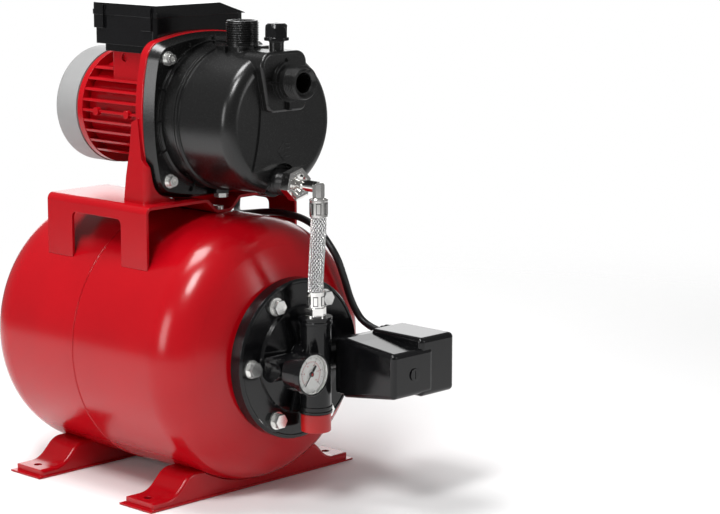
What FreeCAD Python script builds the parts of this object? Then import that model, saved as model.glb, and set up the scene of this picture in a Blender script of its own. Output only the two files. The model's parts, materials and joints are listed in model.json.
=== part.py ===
"""Domestic water works: a jet pump on a horizontal membrane tank, with hose, gauge and switch.

X runs along the tank and the motor, +X towards the tank's flange and the suction port. +Z is up.
It is drawn with x = 0 midway between the feet. At the end every node moves along X, so that the
origin is on the floor under the middle of the whole unit. Lengths are millimetres.
"""
import FreeCAD, Part
import math
import os
import re

import Sketcher

V = FreeCAD.Vector

# Driving dimensions: (alias, value).
SIZES = [
    # tank
    ("tank_radius", 135.0), ("tank_axis", 143.2), ("shell", 1.5), ("head_depth", 67.5),
    ("tank_back", -117.5), ("tank_front", 104.0), ("seam", -12.3), ("mouth_radius", 76.2),
    # tank flange and manifold
    ("flange_back", 163.8), ("flange_front", 177.5), ("flange_radius", 80.5), ("flange_bolts", 66.0),
    ("tube_x", 200.0), ("tube_radius", 15.3), ("tube_top", 189.5), ("tube_bottom", 92.8),
    ("arm_x", 193.0), ("arm_radius", 12.5), ("gauge_y", -35.6), ("gauge_z", 141.5), ("switch_port_y", 38.0),
    # feet and bracket
    ("foot_spacing", 176.6), ("foot_holes", 248.0), ("foot_width", 48.0), ("foot_length", 282.0),
    ("pad_height", 8.0), ("foot_hole", 4.25), ("foot_sheet", 2.0),
    ("bracket_back", -88.2), ("bracket_front", 68.0), ("bracket_half", 103.0), ("bracket_top", 293.5),
    ("bracket_sheet", 3.0), ("leg_width", 39.5), ("window_top", 277.8),
    # motor
    ("pump_axis", 376.0), ("motor_radius", 59.5), ("cover_radius", 60.7), ("cover_back", -127.5),
    ("shield_back", -91.4), ("housing_back", -82.0), ("housing_front", 33.0), ("casing_back", 43.0),
    ("shaft_radius", 7.5), ("bearing_radius", 17.5), ("bearing_width", 11.0), ("rotor_radius", 28.0),
    ("stack_back", -45.0), ("stack_front", 5.0), ("stator_radius", 45.8), ("fin_pitch", 10.7),
    # casing and ports
    ("flange_half", 84.0), ("plate_taper", 20.5), ("casing_front", 55.0), ("bolt_square", 61.0),
    ("drum_radius", 71.5), ("bead_radius", 73.8), ("bead_x", 77.5), ("drum_front", 140.5),
    ("band_x", 155.2), ("block_x", 162.0), ("block_half", 27.0), ("port_radius", 16.62), ("pitch", 2.309),
    ("suction_z", 417.6), ("suction_end", 187.7), ("suction_bore", 10.2),
    ("delivery_x", 98.0), ("delivery_top", 474.0), ("delivery_bore", 12.5),
    ("filler_x", 147.0), ("filler_bore", 5.2), ("filler_top", 455.0), ("drain_x", 64.0),
    ("outlet_z", 317.5), ("outlet_radius", 13.2),
    # terminal box
    ("box_back", -62.0), ("box_front", 31.8), ("lid_front", 35.5), ("box_near", -58.0), ("box_far", 60.0),
    ("box_bottom", 446.0), ("box_rim", 475.5), ("box_top", 486.5),
    # pressure switch
    ("switch_back", 207.0), ("switch_front", 286.8), ("switch_near", 20.0), ("screw_rise", 1.25),
    ("switch_bottom", 107.0), ("switch_top", 168.0), ("gland_y", 100.0), ("gland_z", 157.0),
    # hose
    ("braid_radius", 7.85), ("hose_top", 289.0), ("elbow_x", 204.6),
    ("cable_radius", 3.7),
]
SIZE = dict(SIZES)
doc = FreeCAD.newDocument("WaterWorks")
sheet = doc.addObject("Spreadsheet::Sheet", "Sizes")


def fill_sheet():
    for row, (alias, value) in enumerate(SIZES, start=1):
        sheet.set("A%d" % row, alias)
        sheet.set("B%d" % row, str(value))
        sheet.setAlias("B%d" % row, alias)
    doc.recompute()


def expression(text):
    """Turn a formula over the aliases into one that a document object can read."""
    def cell(match):
        word = match.group()
        return "Sizes." + word if word in SIZE else word
    return re.sub(r"[a-z_][a-z0-9_]*", cell, str(text))


def bind(thing, **formulas):
    for prop, formula in formulas.items():
        thing.setExpression(prop, expression(formula))


ROW_X = {}


def place(thing, at, turn=None):
    """Put an object at three formulas, turned as given."""
    if turn is not None:
        thing.Placement = FreeCAD.Placement(V(0, 0, 0), turn)
    for letter, formula in zip("xyz", at):
        thing.setExpression(".Placement.Base." + letter, expression(formula))
    ROW_X[thing.Name] = at[0]


TURNS = {
    "+X": FreeCAD.Rotation(V(0, 1, 0), 90), "-X": FreeCAD.Rotation(V(0, 1, 0), -90),
    "+Y": FreeCAD.Rotation(V(1, 0, 0), -90), "-Y": FreeCAD.Rotation(V(1, 0, 0), 90),
    "+Z": FreeCAD.Rotation(), "-Z": FreeCAD.Rotation(V(1, 0, 0), 180),
}


# ---- Part primitives and booleans -------------------------------------------------------------

def cylinder(name, radius, height, at, along="+Z"):
    rod = doc.addObject("Part::Cylinder", name)
    bind(rod, Radius=radius, Height=height)
    place(rod, at, TURNS[along])
    return rod


def cone(name, radius, end_radius, height, at, along="+Z"):
    body = doc.addObject("Part::Cone", name)
    bind(body, Radius1=radius, Radius2=end_radius, Height=height)
    place(body, at, TURNS[along])
    return body


def box(name, low, high):
    """A box between two corners given as formulas."""
    block = doc.addObject("Part::Box", name)
    spans = ["(%s) - (%s)" % (b, a) for a, b in zip(low, high)]
    bind(block, Length=spans[0], Width=spans[1], Height=spans[2])
    place(block, low)
    return block


def torus(name, ring, section, at, along="+Z"):
    tyre = doc.addObject("Part::Torus", name)
    bind(tyre, Radius1=ring, Radius2=section)
    place(tyre, at, TURNS[along])
    return tyre


def prism(name, across_flats, height, at, along="+Z", spin=0.0):
    """A hexagonal prism of the given width across its flats."""
    hexagon = doc.addObject("Part::Prism", name)
    hexagon.Polygon = 6
    bind(hexagon, Circumradius="(%s) / 2 / 0.8660254" % across_flats, Height=height)
    place(hexagon, at, TURNS[along].multiply(FreeCAD.Rotation(V(0, 0, 1), spin)))
    return hexagon


def fuse(name, pieces):
    whole = doc.addObject("Part::MultiFuse", name)
    whole.Shapes = pieces
    return whole


def common(name, pieces):
    shared = doc.addObject("Part::MultiCommon", name)
    shared.Shapes = pieces
    return shared


def cut(name, base, tools):
    """What is left of base when the tools are taken away."""
    result = doc.addObject("Part::Cut", name)
    result.Base = base
    result.Tool = tools[0] if len(tools) == 1 else fuse(name + "_tools", tools)
    return result


def edges_where(shape, test):
    """Numbers of the edges for which the test is true."""
    return [number for number, edge in enumerate(shape.Edges, start=1) if test(edge)]


def rounded(name, base, radius, test):
    """Round the edges of a Part object for which the test is true."""
    doc.recompute()
    result = doc.addObject("Part::Fillet", name)
    result.Base = base
    result.Edges = [(edge, radius, radius) for edge in edges_where(base.Shape, test)]
    return result


def group(name, pieces):
    """Separate solids that share one node."""
    bundle = doc.addObject("Part::Compound", name)
    bundle.Links = pieces
    return bundle


# ---- PartDesign bodies -------------------------------------------------------------------------

def new_body(name, at=(0, 0, 0)):
    body = doc.addObject("PartDesign::Body", name)
    place(body, at)
    return body


def origin_plane(body, role):
    for feature in body.Origin.OriginFeatures:
        if feature.Role == role:
            return feature
    raise ValueError(role)


def new_sketch(body, name, role, offset=0):
    sketch = body.newObject("Sketcher::SketchObject", name)
    sketch.AttachmentSupport = [(origin_plane(body, role), "")]
    sketch.MapMode = "FlatFace"
    if offset:
        sketch.setExpression(".AttachmentOffset.Base.z", expression(offset))
    return sketch


def number(formula):
    """The value of a formula, read from the document's own expression engine."""
    if isinstance(formula, (int, float)):
        return float(formula)
    return float(sheet.evalExpression(expression(formula)))


def outline(sketch, points):
    """A closed outline. A point is (x, y), or (x, y, radius) where an arc leads to it.

    Each corner's place is a pair of constraints tied to the sheet. An arc's radius is
    positive where it turns anticlockwise and negative where it turns clockwise.
    """
    count = len(points)
    spots = [V(number(p[0]), number(p[1]), 0) for p in points]
    first = sketch.GeometryCount
    for index in range(count):
        start, end = spots[index], spots[(index + 1) % count]
        target = points[(index + 1) % count]
        if len(target) == 3:
            sketch.addGeometry(arc_between(start, end, number(target[2])), False)
        else:
            sketch.addGeometry(Part.LineSegment(start, end), False)
    for index in range(count):
        here, after = first + index, first + (index + 1) % count
        leaving = 2 if clockwise(points[(index + 1) % count]) else 1
        arriving = 1 if clockwise(points[(index + 1) % count]) else 2
        next_start = 2 if clockwise(points[(index + 2) % count]) else 1
        sketch.addConstraint(Sketcher.Constraint("Coincident", here, arriving, after, next_start))
        for kind, formula in zip(("DistanceX", "DistanceY"), points[index][:2]):
            value = number(formula)
            slot = sketch.addConstraint(Sketcher.Constraint(kind, -1, 1, here, leaving, value))
            if not isinstance(formula, (int, float)):
                sketch.setExpression("Constraints[%d]" % slot, expression(formula))
        if len(points[(index + 1) % count]) == 3:
            radius = points[(index + 1) % count][2]
            slot = sketch.addConstraint(Sketcher.Constraint("Radius", here, abs(number(radius))))
            if not isinstance(radius, (int, float)):
                sketch.setExpression("Constraints[%d]" % slot, expression("abs(%s)" % radius))
    return sketch


def clockwise(point):
    return len(point) == 3 and number(point[2]) < 0


def arc_between(start, end, radius):
    """The shorter arc of the signed radius from start to end."""
    middle = (start + end) * 0.5
    chord = end - start
    half = chord.Length / 2
    side = V(-chord.y, chord.x, 0).normalize()
    rise = math.sqrt(max(radius * radius - half * half, 0.0))
    centre = middle + side * (rise if radius > 0 else -rise)
    bulge = (middle - centre)
    if bulge.Length < 1e-6:
        bulge = side * (-1 if radius > 0 else 1)
    top = centre + bulge.normalize() * abs(radius)
    return Part.Arc(start, top, end)


def pad(body, sketch, length, taper=0.0):
    feature = body.newObject("PartDesign::Pad", sketch.Name + "_pad")
    feature.Profile = sketch
    bind(feature, Length=length)
    if taper:
        bind(feature, TaperAngle=taper)
    return feature


def turned(name, points, at=(0, 0, 0), axis="H_Axis"):
    """A body of revolution. About H_Axis the points are (x, r); about V_Axis they are (r, z)."""
    body = new_body(name, at)
    sketch = outline(new_sketch(body, name + "_profile", "XZ_Plane"), points)
    feature = body.newObject("PartDesign::Revolution", name + "_turned")
    feature.Profile = sketch
    feature.ReferenceAxis = (sketch, [axis])
    feature.Angle = 360
    return body


def soften(body, radius, test):
    """Round the body's edges for which the test is true (body coordinates)."""
    doc.recompute()
    base = body.Tip
    edges = ["Edge%d" % edge for edge in edges_where(base.Shape, test)]
    feature = body.newObject("PartDesign::Fillet", "%s_soft%d" % (body.Name, len(body.Group)))
    feature.Base = (base, edges)
    feature.Radius = radius
    return feature


def extruded(name, points, start, end, role="XZ_Plane", taper=0.0):
    """An outline on a plane, padded from one formula to the other along the plane's normal."""
    body = new_body(name)
    sketch = outline(new_sketch(body, name + "_outline", role, start), points)
    pad(body, sketch, "(%s) - (%s)" % (end, start), taper)
    return body


def mirror_y(name, source):
    twin = doc.addObject("Part::Mirroring", name)
    twin.Source = source
    twin.Normal = V(0, 1, 0)
    return twin


def ring(name, inner, outer, start, end, at=(0, 0, 0)):
    """A washer-shaped body about the X axis."""
    return turned(name, [(start, inner), (end, inner), (end, outer), (start, outer)], at)


NODES = []


def node(thing):
    NODES.append(thing)
    return thing


TANK = (0, 0, "tank_axis")
PUMP = (0, 0, "pump_axis")


# ---- Tank ---------------------------------------------------------------------------------------

def shell_outline(end, side, edge, hole):
    """Half section of a cylinder from edge to end with a dished head, open at radius hole.

    The crown is 1.809 and the knuckle 0.345 tank radii, so the head is half a radius deep.
    """
    crown, knuckle = "tank_radius * 1.80889", "tank_radius * 0.345185"
    centre = "%s - (%s) * 1.30889 * tank_radius" % (end, side)
    points = []
    for inset in ("0", "shell"):
        turn = "%s * (%s - %s)" % (-side, "%s", inset)
        bend = "(%s) + (%s) * (%s - %s) * 0.89423" % (centre, side, crown, inset)
        tip = "(%s) + (%s) * sqrt((%s - %s)^2 - (%s)^2)" % (centre, side, crown, inset, hole)
        points.append([(edge, "tank_radius - %s" % inset), (end, "tank_radius - %s" % inset),
                       (bend, "(%s - %s) * 0.44737" % (crown, inset), turn % knuckle),
                       (tip, hole, turn % crown)])
    outer, inner = points
    back = [(inner[3][0], hole), (inner[2][0], inner[2][1], "-(%s)" % inner[3][2]),
            (inner[1][0], inner[1][1], "-(%s)" % inner[2][2]), inner[0]]
    return outer + back


def make_tank():
    node(turned("tank_rear_shell", shell_outline("tank_back", -1, "seam", "6"), TANK))
    front = turned("front_dish", shell_outline("tank_front", 1, "seam", "mouth_radius"), TANK)
    bead = torus("seam_bead", "tank_radius", 0.9, ("seam", 0, "tank_axis"), "+X")
    inside = cylinder("seam_inside", "tank_radius - 0.1", 10, ("seam - 5", 0, "tank_axis"), "+X")
    rear_half = cylinder("seam_rear", "tank_radius + 5", 10, ("seam - 10", 0, "tank_axis"), "+X")
    weld = cut("seam_weld", bead, [inside, rear_half])
    mouth = ring("mouth_ring", 46, "mouth_radius", "flange_back - 7.3", "flange_back - 1", TANK)
    tapped = [cylinder("mouth_thread%d" % n, 3.9, 12, bolt_at("flange_back - 9", n), "+X")
              for n in range(6)]
    node(cut("tank_front_shell", fuse("front_shell_whole", [front, mouth, weld]), tapped))
    outside = [("flange_back", 40), ("flange_back - 8", 40), ("flange_back - 24", 60, 40),
               ("tank_front - 30", 96, 200), ("tank_back + 50", 96), ("tank_back + 10", 40, 90),
               ("tank_back + 10", 5)]
    inner = [("tank_back + 8", 5), ("tank_back + 8", 41), ("tank_back + 49", 98, -92),
             ("tank_front - 29", 98), ("flange_back - 22.5", 62, -202), ("flange_back - 6.5", 42, -42)]
    collar = [("flange_back - 1", 42), ("flange_back - 1", 58), ("flange_back", 58)]
    node(turned("tank_bladder", collar + outside + inner, TANK))


def bolt_at(start, index, radius="flange_bolts"):
    """Where a flange bolt stands: six on a circle, the first on +Y."""
    across, up = math.cos(math.radians(60 * index)), math.sin(math.radians(60 * index))
    return (start, "%s * %.6f" % (radius, across), "tank_axis + %s * %.6f" % (radius, up))


def make_air_valve():
    at = ("tank_back - head_depth", 0, "tank_axis")
    stem = [(3, 0.6), (3, 5.6), (-0.1, 5.6), (-0.1, 9), (-1.8, 9), (-1.8, 5.6), (-3, 5.6),
            (-3, 3.6), (-14, 3.6), (-14, 0.6)]
    node(turned("air_valve", stem, at))
    cap = [(-3.2, 3.75), (-3.2, 5.4), (-15.4, 5.0), (-16.4, 4.0), (-16.4, 0), (-14.6, 0), (-14.6, 3.75)]
    node(turned("air_valve_cap", cap, at))


# ---- Feet and bracket ---------------------------------------------------------------------------

def foot_outline(drop, end):
    """Half of the drawn foot: pad, hollow curve, slope, rounded shoulder, flat top."""
    pad_z = "pad_height - %s" % drop
    half = [(end, 0 if drop == "0" else -1), (end, pad_z), (118, pad_z), (101, "%s + 7" % pad_z, -24.14),
            (93, "%s + 15" % pad_z), (79, "%s + 20.8" % pad_z, 19.8)]
    rest = [(-79, "%s + 20.8" % pad_z), (-93, "%s + 15" % pad_z, 19.8), (-101, "%s + 7" % pad_z),
            (-118, pad_z, -24.14), (-end, pad_z), (-end, half[0][1])]
    return half + rest


def make_foot(name, side):
    where = "%d * foot_spacing / 2" % side
    shell = extruded(name + "_form", foot_outline("0", 136), "-21.6", "21.6", "YZ_Plane")
    soften(shell, 3.5, lambda edge: edge.CenterOfMass.z > 1 and abs(edge.CenterOfMass.x) > 21)
    place(shell, (where, 0, 0))
    lip = box(name + "_lip", ("%s - foot_width / 2" % where, "-foot_length / 2", 0),
              ("%s + foot_width / 2" % where, "foot_length / 2", 1.6))
    hollow = extruded(name + "_hollow", foot_outline("foot_sheet", 134), "-19.6", "19.6", "YZ_Plane")
    place(hollow, (where, 0, 0))
    clear = cylinder(name + "_clear", "tank_radius + foot_sheet", 60, (where + " - 30", 0, "tank_axis"), "+X")
    inner = cut(name + "_inner", hollow, [clear])
    tank = cylinder(name + "_cradle", "tank_radius", 70, (where + " - 35", 0, "tank_axis"), "+X")
    holes = [cylinder("%s_hole%d" % (name, n), "foot_hole", 20, (where, "%d * foot_holes / 2" % n, -5))
             for n in (-1, 1)]
    node(cut(name, fuse(name + "_solid", [shell, lip]), [inner, tank] + holes))


def there_and_back(points):
    """A half outline on the +X side of a sketch, continued by its mirror image back to the start."""
    turns = [point[2:] for point in points] + [()]
    mirrored = [("-(%s)" % point[0], point[1]) + turns[index + 1]
                for index, point in enumerate(points)]
    return points + mirrored[::-1]


def bracket_outline():
    """The bent sheet seen along X: leg, shelf, valley, shelf, leg, and back along the inside."""
    out, top, t = "bracket_half", "bracket_top", "bracket_sheet"
    low = "tank_axis + tank_radius + %s" % t
    outer = there_and_back([(out, 222), (out, top + " - 7"), (out + " - 7", top, 7), (24, top),
                            (19, top + " - 2.4", 9), (11, low + " + 1.8"), (7, low, -8)])
    inner = there_and_back([("%s - %s" % (out, t), 222), ("%s - %s" % (out, t), top + " - 7"),
                            (out + " - 7", "%s - %s" % (top, t), 4), (25, "%s - %s" % (top, t)),
                            (21, "%s - %s - 2" % (top, t), 6), (12, low + " - 1.2"),
                            (7, "%s - %s" % (low, t), -8)])
    back = []
    for index in range(len(inner) - 1, -1, -1):
        turn = inner[index + 1][2:] if index + 1 < len(inner) else ()
        back.append(inner[index][:2] + tuple("-(%s)" % r for r in turn))
    return outer + back


def make_bracket():
    bend = extruded("bracket_bend", bracket_outline(), "bracket_back", "bracket_front", "YZ_Plane")
    window = box("bracket_window", ("bracket_back + leg_width", -150, 200),
                 ("bracket_front - leg_width", 150, "window_top"))
    soft = rounded("bracket_window_soft", window, 6,
                   lambda edge: abs(edge.CenterOfMass.z - number("window_top")) < 0.1
                   and abs(edge.CenterOfMass.y) < 1)
    tank = cylinder("bracket_seat", "tank_radius + 0.05", 250, ("bracket_back - 20", 0, "tank_axis"), "+X")
    relief = cylinder("bracket_relief", "tank_radius + 1.2", 1.8, ("seam - 0.3", 0, "tank_axis"), "+X")
    holes = [cylinder("bracket_hole%d" % side, 4.3, 20, (20, "%d * 64" % side, "bracket_top - 15"))
             for side in (-1, 1)]
    holes.append(cylinder("bracket_stud_hole", 3.2, 20, ("bracket_front - 8", 0, "bracket_top - 18")))
    node(cut("pump_bracket", bend, [soft, tank, relief] + holes))


def make_bracket_screws():
    pieces = []
    for side in (-1, 1):
        at = [20, "%d * 64" % side]
        head = prism("foot_bolt_head%d" % side, 13, 5.3, at + ["bracket_top + 7.1"])
        washer = cylinder("foot_bolt_washer%d" % side, 8, 1.6, at + ["bracket_top + 5.5"])
        shank = cylinder("foot_bolt_shank%d" % side, 3.9, 18, at + ["bracket_top - 11"])
        nut = prism("foot_bolt_nut%d" % side, 13, 6.5, at + ["bracket_top - bracket_sheet - 6.5"])
        pieces.append(fuse("foot_bolt%d" % side, [head, washer, shank, nut]))
    at = ["bracket_front - 8", 0]
    low = "tank_axis + tank_radius"
    head = cylinder("stud_head", 5.5, 3.2, at + [low + " + bracket_sheet"])
    slot = box("stud_slot", ("bracket_front - 14", -0.6, low + " + bracket_sheet + 1.8"),
               ("bracket_front - 2", 0.6, low + " + bracket_sheet + 5"))
    shank = cylinder("stud_shank", 2.9, "bracket_sheet", at + [low + " + 0.1"])
    pieces.append(cut("stud_screw", fuse("stud_whole", [head, shank]), [slot]))
    node(group("bracket_screws", pieces))


# ---- Manifold, gauge and outlet cap -------------------------------------------------------------

def manifold_solids():
    """The flange with its raised hub, the upright tube, the cross arm and the ribs between them."""
    plate = [("flange_back", 16), ("flange_front + 7", 16), ("flange_front + 7", 28),
             ("flange_front + 3.2", 53), ("flange_front", 54.5), ("flange_front", "flange_radius - 4.5"),
             ("flange_front + 0.8", "flange_radius - 3.8"), ("flange_front + 0.8", "flange_radius - 1.8"),
             ("flange_front - 1.2", "flange_radius"), ("flange_back", "flange_radius")]
    solids = [turned("manifold_plate", plate, TANK)]
    solids.append(cylinder("manifold_tube", "tube_radius", "tube_top - tube_bottom", ("tube_x", 0,
            "tube_bottom")))
    solids.append(cylinder("manifold_neck", 22, 22, ("flange_front", 0, "tank_axis"), "+X"))
    solids += [cylinder("manifold_bead%d" % n, "tube_radius + 1.3", 2.4, ("tube_x", 0, z))
               for n, z in enumerate(("tube_top - 2.4", "tube_top - 7", "tube_bottom", "tube_bottom + 4.6"))]
    solids.append(cylinder("manifold_spigot", 12.2, 16, ("tube_x", 0, "tube_bottom - 16")))
    solids.append(cylinder("manifold_arm", "arm_radius", 112, ("arm_x", -56, "tank_axis"), "+Y"))
    solids.append(cylinder("manifold_gauge_boss", 9, "tube_x + 5 - arm_x", ("arm_x", "gauge_y",
            "gauge_z"), "+X"))
    solids.append(cylinder("manifold_switch_boss", 9, "switch_back - 0.3 - arm_x",
                           ("arm_x", "switch_port_y", "tank_axis"), "+X"))
    solids.append(box("manifold_web", ("flange_front - 1", -3, "tank_axis - 44"), ("tube_x", 3,
            "tank_axis + 44")))
    solids.append(box("manifold_web_side", ("flange_front - 1", -44, "tank_axis - 3"), ("arm_x", 44,
            "tank_axis + 3")))
    solids.append(extruded("manifold_wing_up", [(-21, "tube_top - 4"), (-12, "tank_axis + 12"),
                                                (12, "tank_axis + 12"), (21, "tube_top - 4")],
                           "tube_x - 13", "tube_x - 9.5", "YZ_Plane"))
    solids.append(extruded("manifold_wing_down", [(-24, "tube_bottom + 3"), (-13, "tank_axis - 12"),
                                                  (13, "tank_axis - 12"), (24, "tube_bottom + 3")],
                           "tube_x - 13", "tube_x - 9.5", "YZ_Plane"))
    return solids


def make_manifold():
    bore = cylinder("manifold_bore", 9.5, "tube_top - tube_bottom + 30", ("tube_x", 0, "tube_bottom - 20"))
    inlet = cylinder("manifold_inlet", 16, "tube_x - flange_back - 6", ("flange_back - 1", 0,
            "tank_axis"), "+X")
    cross = cylinder("manifold_cross", 5, 100, ("arm_x", -50, "tank_axis"), "+Y")
    taps = [cylinder("manifold_tap_gauge", 5, 30, ("arm_x", "gauge_y", "gauge_z"), "+X"),
            cylinder("manifold_tap_switch", 5, 30, ("arm_x", "switch_port_y", "tank_axis"), "+X")]
    taps.append(cylinder("manifold_gauge_face", 9.5, 6, ("tube_x + 5", "gauge_y", "gauge_z"), "+X"))
    holes = [cylinder("manifold_hole%d" % n, 4.3, 60, bolt_at("flange_back - 5", n), "+X") for n in range(6)]
    spots = [cylinder("manifold_spot%d" % n, 12.6, 60, bolt_at("flange_front", n), "+X") for n in range(6)]
    whole = fuse("manifold_whole", manifold_solids())
    node(cut("manifold", whole, [bore, inlet, cross] + taps + holes + spots))


def make_flange_bolts():
    bolts = []
    for n in range(6):
        head = prism("flange_bolt_head%d" % n, 13, 6.5, bolt_at("flange_front + 2", n), "+X", 30)
        collar = cylinder("flange_bolt_collar%d" % n, 9, 2, bolt_at("flange_front", n), "+X")
        shank = cylinder("flange_bolt_shank%d" % n, 3.9, "flange_front - flange_back + 5",
                         bolt_at("flange_back - 5", n), "+X")
        bolts.append(fuse("flange_bolt%d" % n, [head, collar, shank]))
    node(group("flange_bolts", bolts))
    node(ring("flange_gasket", 58.2, 61.5, "flange_back - 1", "flange_back", TANK))


def make_outlet_cap():
    at = ("tube_x", 0, "tube_bottom")
    node(turned("outlet_cap_seal", [(9.6, -16.1), (12.2, -16.1), (12.2, -17.6), (9.6, -17.6)], at, "V_Axis"))
    profile = [(0, -17.7), (12.35, -17.7), (12.35, -0.6), (14.6, -0.6), (15, -1.0), (15, -18.2),
               (14.4, -18.8), (0, -18.8)]
    node(turned("outlet_cap", profile, at, "V_Axis"))


def make_gauge():
    at = ("tube_x + 5", "gauge_y", "gauge_z")
    case = [(4, 3.2), (4, 19.6), (22.5, 19.6), (22.5, 21.2), (28.3, 21.2), (29, 20.5), (29, 20.0),
            (28.2, 19.4), (24.2, 19.4), (24.2, 18.4), (6, 18.4), (6, 3.2)]
    node(turned("gauge_case", case, at))
    node(turned("gauge_lens", [(27, 0), (28, 0), (28, 19.4), (27, 19.4)], at))
    node(turned("gauge_dial", [(23, 1.2), (24.2, 1.2), (24.2, 18.3), (23, 18.3)], at))
    make_gauge_movement()
    spindle = cylinder("gauge_spindle", 0.8, 13.9, ("tube_x + 16.5", "gauge_y", "gauge_z"), "+X")
    hub = cylinder("gauge_hub", 2.4, 1.4, ("tube_x + 29.7", "gauge_y", "gauge_z"), "+X")
    hand = extruded("gauge_hand", [(-0.9, -9.5), (0.9, -9.5), (1.1, -4), (0.4, -3), (0.25, 14), (-0.25, 14),
                                   (-0.4, -3), (-1.1, -4)], "0", "0.7", "YZ_Plane")
    place(hand, ("tube_x + 29.9", "gauge_y", "gauge_z"), FreeCAD.Rotation(V(1, 0, 0), 142))
    node(fuse("gauge_needle", [spindle, hub, hand]))


def make_gauge_movement():
    """The pressure element: a stem, a plate, a bent flat tube and its link to the spindle's bush."""
    profile = [(-9, 0), (-9, 4.6), (0, 4.6), (0, 6.5), (4, 6.5), (4, 3.1), (10, 3.1), (10, 0)]
    stem = turned("gauge_stem", profile, ("tube_x + 5", "gauge_y", "gauge_z"))
    plate = box("gauge_frame", ("tube_x + 14", "gauge_y - 6", "gauge_z - 9"),
                ("tube_x + 17", "gauge_y + 6", "gauge_z + 9"))
    coil = torus("gauge_coil_ring", 12.5, 1.8, ("tube_x + 19", "gauge_y", "gauge_z"), "+X")
    gap = box("gauge_coil_gap", ("tube_x + 14", "gauge_y", "gauge_z"),
              ("tube_x + 24", "gauge_y + 20", "gauge_z + 20"))
    link = box("gauge_link", ("tube_x + 14", "gauge_y - 13", "gauge_z - 1.5"),
               ("tube_x + 20", "gauge_y - 5", "gauge_z + 1.5"))
    bush = cylinder("gauge_bush_rod", 3, 10, ("tube_x + 15", "gauge_y", "gauge_z"), "+X")
    bore = cylinder("gauge_bush_bore", 0.9, 12, ("tube_x + 15.5", "gauge_y", "gauge_z"), "+X")
    whole = fuse("gauge_movement_whole", [stem, plate, cut("gauge_coil", coil, [gap]), link, bush])
    node(cut("gauge_movement", whole, [bore]))


# ---- Hose ---------------------------------------------------------------------------------------

def make_hose():
    top = ("tube_x", 0, "tube_top")
    nipple = [(5, -8), (9.3, -8), (9.3, 0), (10.8, 0), (10.8, 1.6), (9, 1.6), (9, 9), (5.6, 9),
              (5.6, 24), (5, 24)]
    form = turned("nipple_form", nipple, top, "V_Axis")
    hexagon = prism("nipple_hex", 18.6, 7.2, ("tube_x", 0, "tube_top + 1.6"))
    core = cylinder("nipple_core", 8, 20, ("tube_x", 0, "tube_top - 2"))
    node(fuse("hose_nipple", [form, cut("nipple_nut", hexagon, [core])]))
    sleeve = [(5.7, 9.2), (8.4, 9.2), (8.4, 24.5), (7.9, 24.5), (7.9, 11), (5.7, 11)]
    low = cut("low_ferrule", turned("low_ferrule_form", sleeve, top, "V_Axis"),
              [flats("low_ferrule_flats", 16.3, 10, "tube_x", "tube_top + 12.5")])
    sleeve = [(8.0, 0), (8.85, 0), (8.85, 15), (9.1, 15.4), (9.1, 17.4), (8.7, 17.8), (5.7, 17.8),
              (5.7, 16), (8.0, 16)]
    high = cut("high_ferrule", turned("high_ferrule_form", sleeve, ("elbow_x", 0, "hose_top"), "V_Axis"),
               [flats("high_ferrule_flats", 17.0, 11, "elbow_x", "hose_top + 2.5")])
    node(group("hose_ferrules", [low, high]))
    route = [(200.0, 0, 200.8), (200.0, 0, 225.0), (SIZE["elbow_x"], 0, 262.0), (SIZE["elbow_x"], 0, 304.6)]
    node(tube("hose_braid", route, SIZE["braid_radius"], 5.75))


def flats(name, across_flats, height, x, z):
    """What to take off a sleeve on the Z axis to crimp six flats into it."""
    blank = cylinder(name + "_blank", 14, height, (x, 0, z))
    hexagon = prism(name + "_hex", across_flats, "%s + 2" % height, (x, 0, z + " - 1"))
    return cut(name, blank, [hexagon])


def make_elbow():
    bend = [(SIZE["elbow_x"], 0, 306.9), (SIZE["elbow_x"], 0, SIZE["outlet_z"]), (172.0, 0, SIZE["outlet_z"])]
    pipe = tube("elbow_tube", bend, 6.2, 4.2, bend=9.0)
    tail = ring("elbow_tail", 4.2, 5.2, 0, 14)
    place(tail, ("elbow_x", 0, 294), TURNS["-X"])
    collar = ring("elbow_collar", 4.2, 7.2, 0, 3)
    place(collar, ("elbow_x", 0, 307.4), TURNS["-X"])
    flange = ring("elbow_flange", 4.2, 11.4, 175.2, 178.4, (0, 0, "outlet_z"))
    spigot = ring("elbow_spigot", 4.2, 8.2, 154, 178, (0, 0, "outlet_z"))
    node(fuse("hose_elbow", [pipe, tail, collar, flange, spigot]))


def make_union_nut():
    nut = prism("union_hex", 29, 18, (156.2, 0, "outlet_z"), "+X")
    dome = cone("union_dome", 21, 14.2, 20, (155.2, 0, "outlet_z"), "+X")
    hole = cylinder("union_hole", 11.6, 16.5, (155, 0, "outlet_z"), "+X")
    eye = cylinder("union_eye", 8.4, 40, (150, 0, "outlet_z"), "+X")
    node(cut("hose_union_nut", common("union_form", [nut, dome]), [hole, eye]))
    node(ring("hose_seal", 8.3, 11.3, "casing_front + 98.9", "casing_front + 100.9", (0, 0, "outlet_z")))


def tube(name, route, radius, bore, bend=None):
    """A round tube along straight runs joined by tangent arcs."""
    wire = Part.Wire(route_edges(route, bend))
    way = V(*route[1]) - V(*route[0])
    thing = doc.addObject("Part::Feature", name)
    outer = wire.makePipeShell([Part.Wire([Part.makeCircle(radius, V(*route[0]), way)])], True, True)
    if bore:
        inner = wire.makePipeShell([Part.Wire([Part.makeCircle(bore, V(*route[0]), way)])], True, True)
        outer = outer.cut(inner)
    thing.Shape = outer
    return thing


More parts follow.
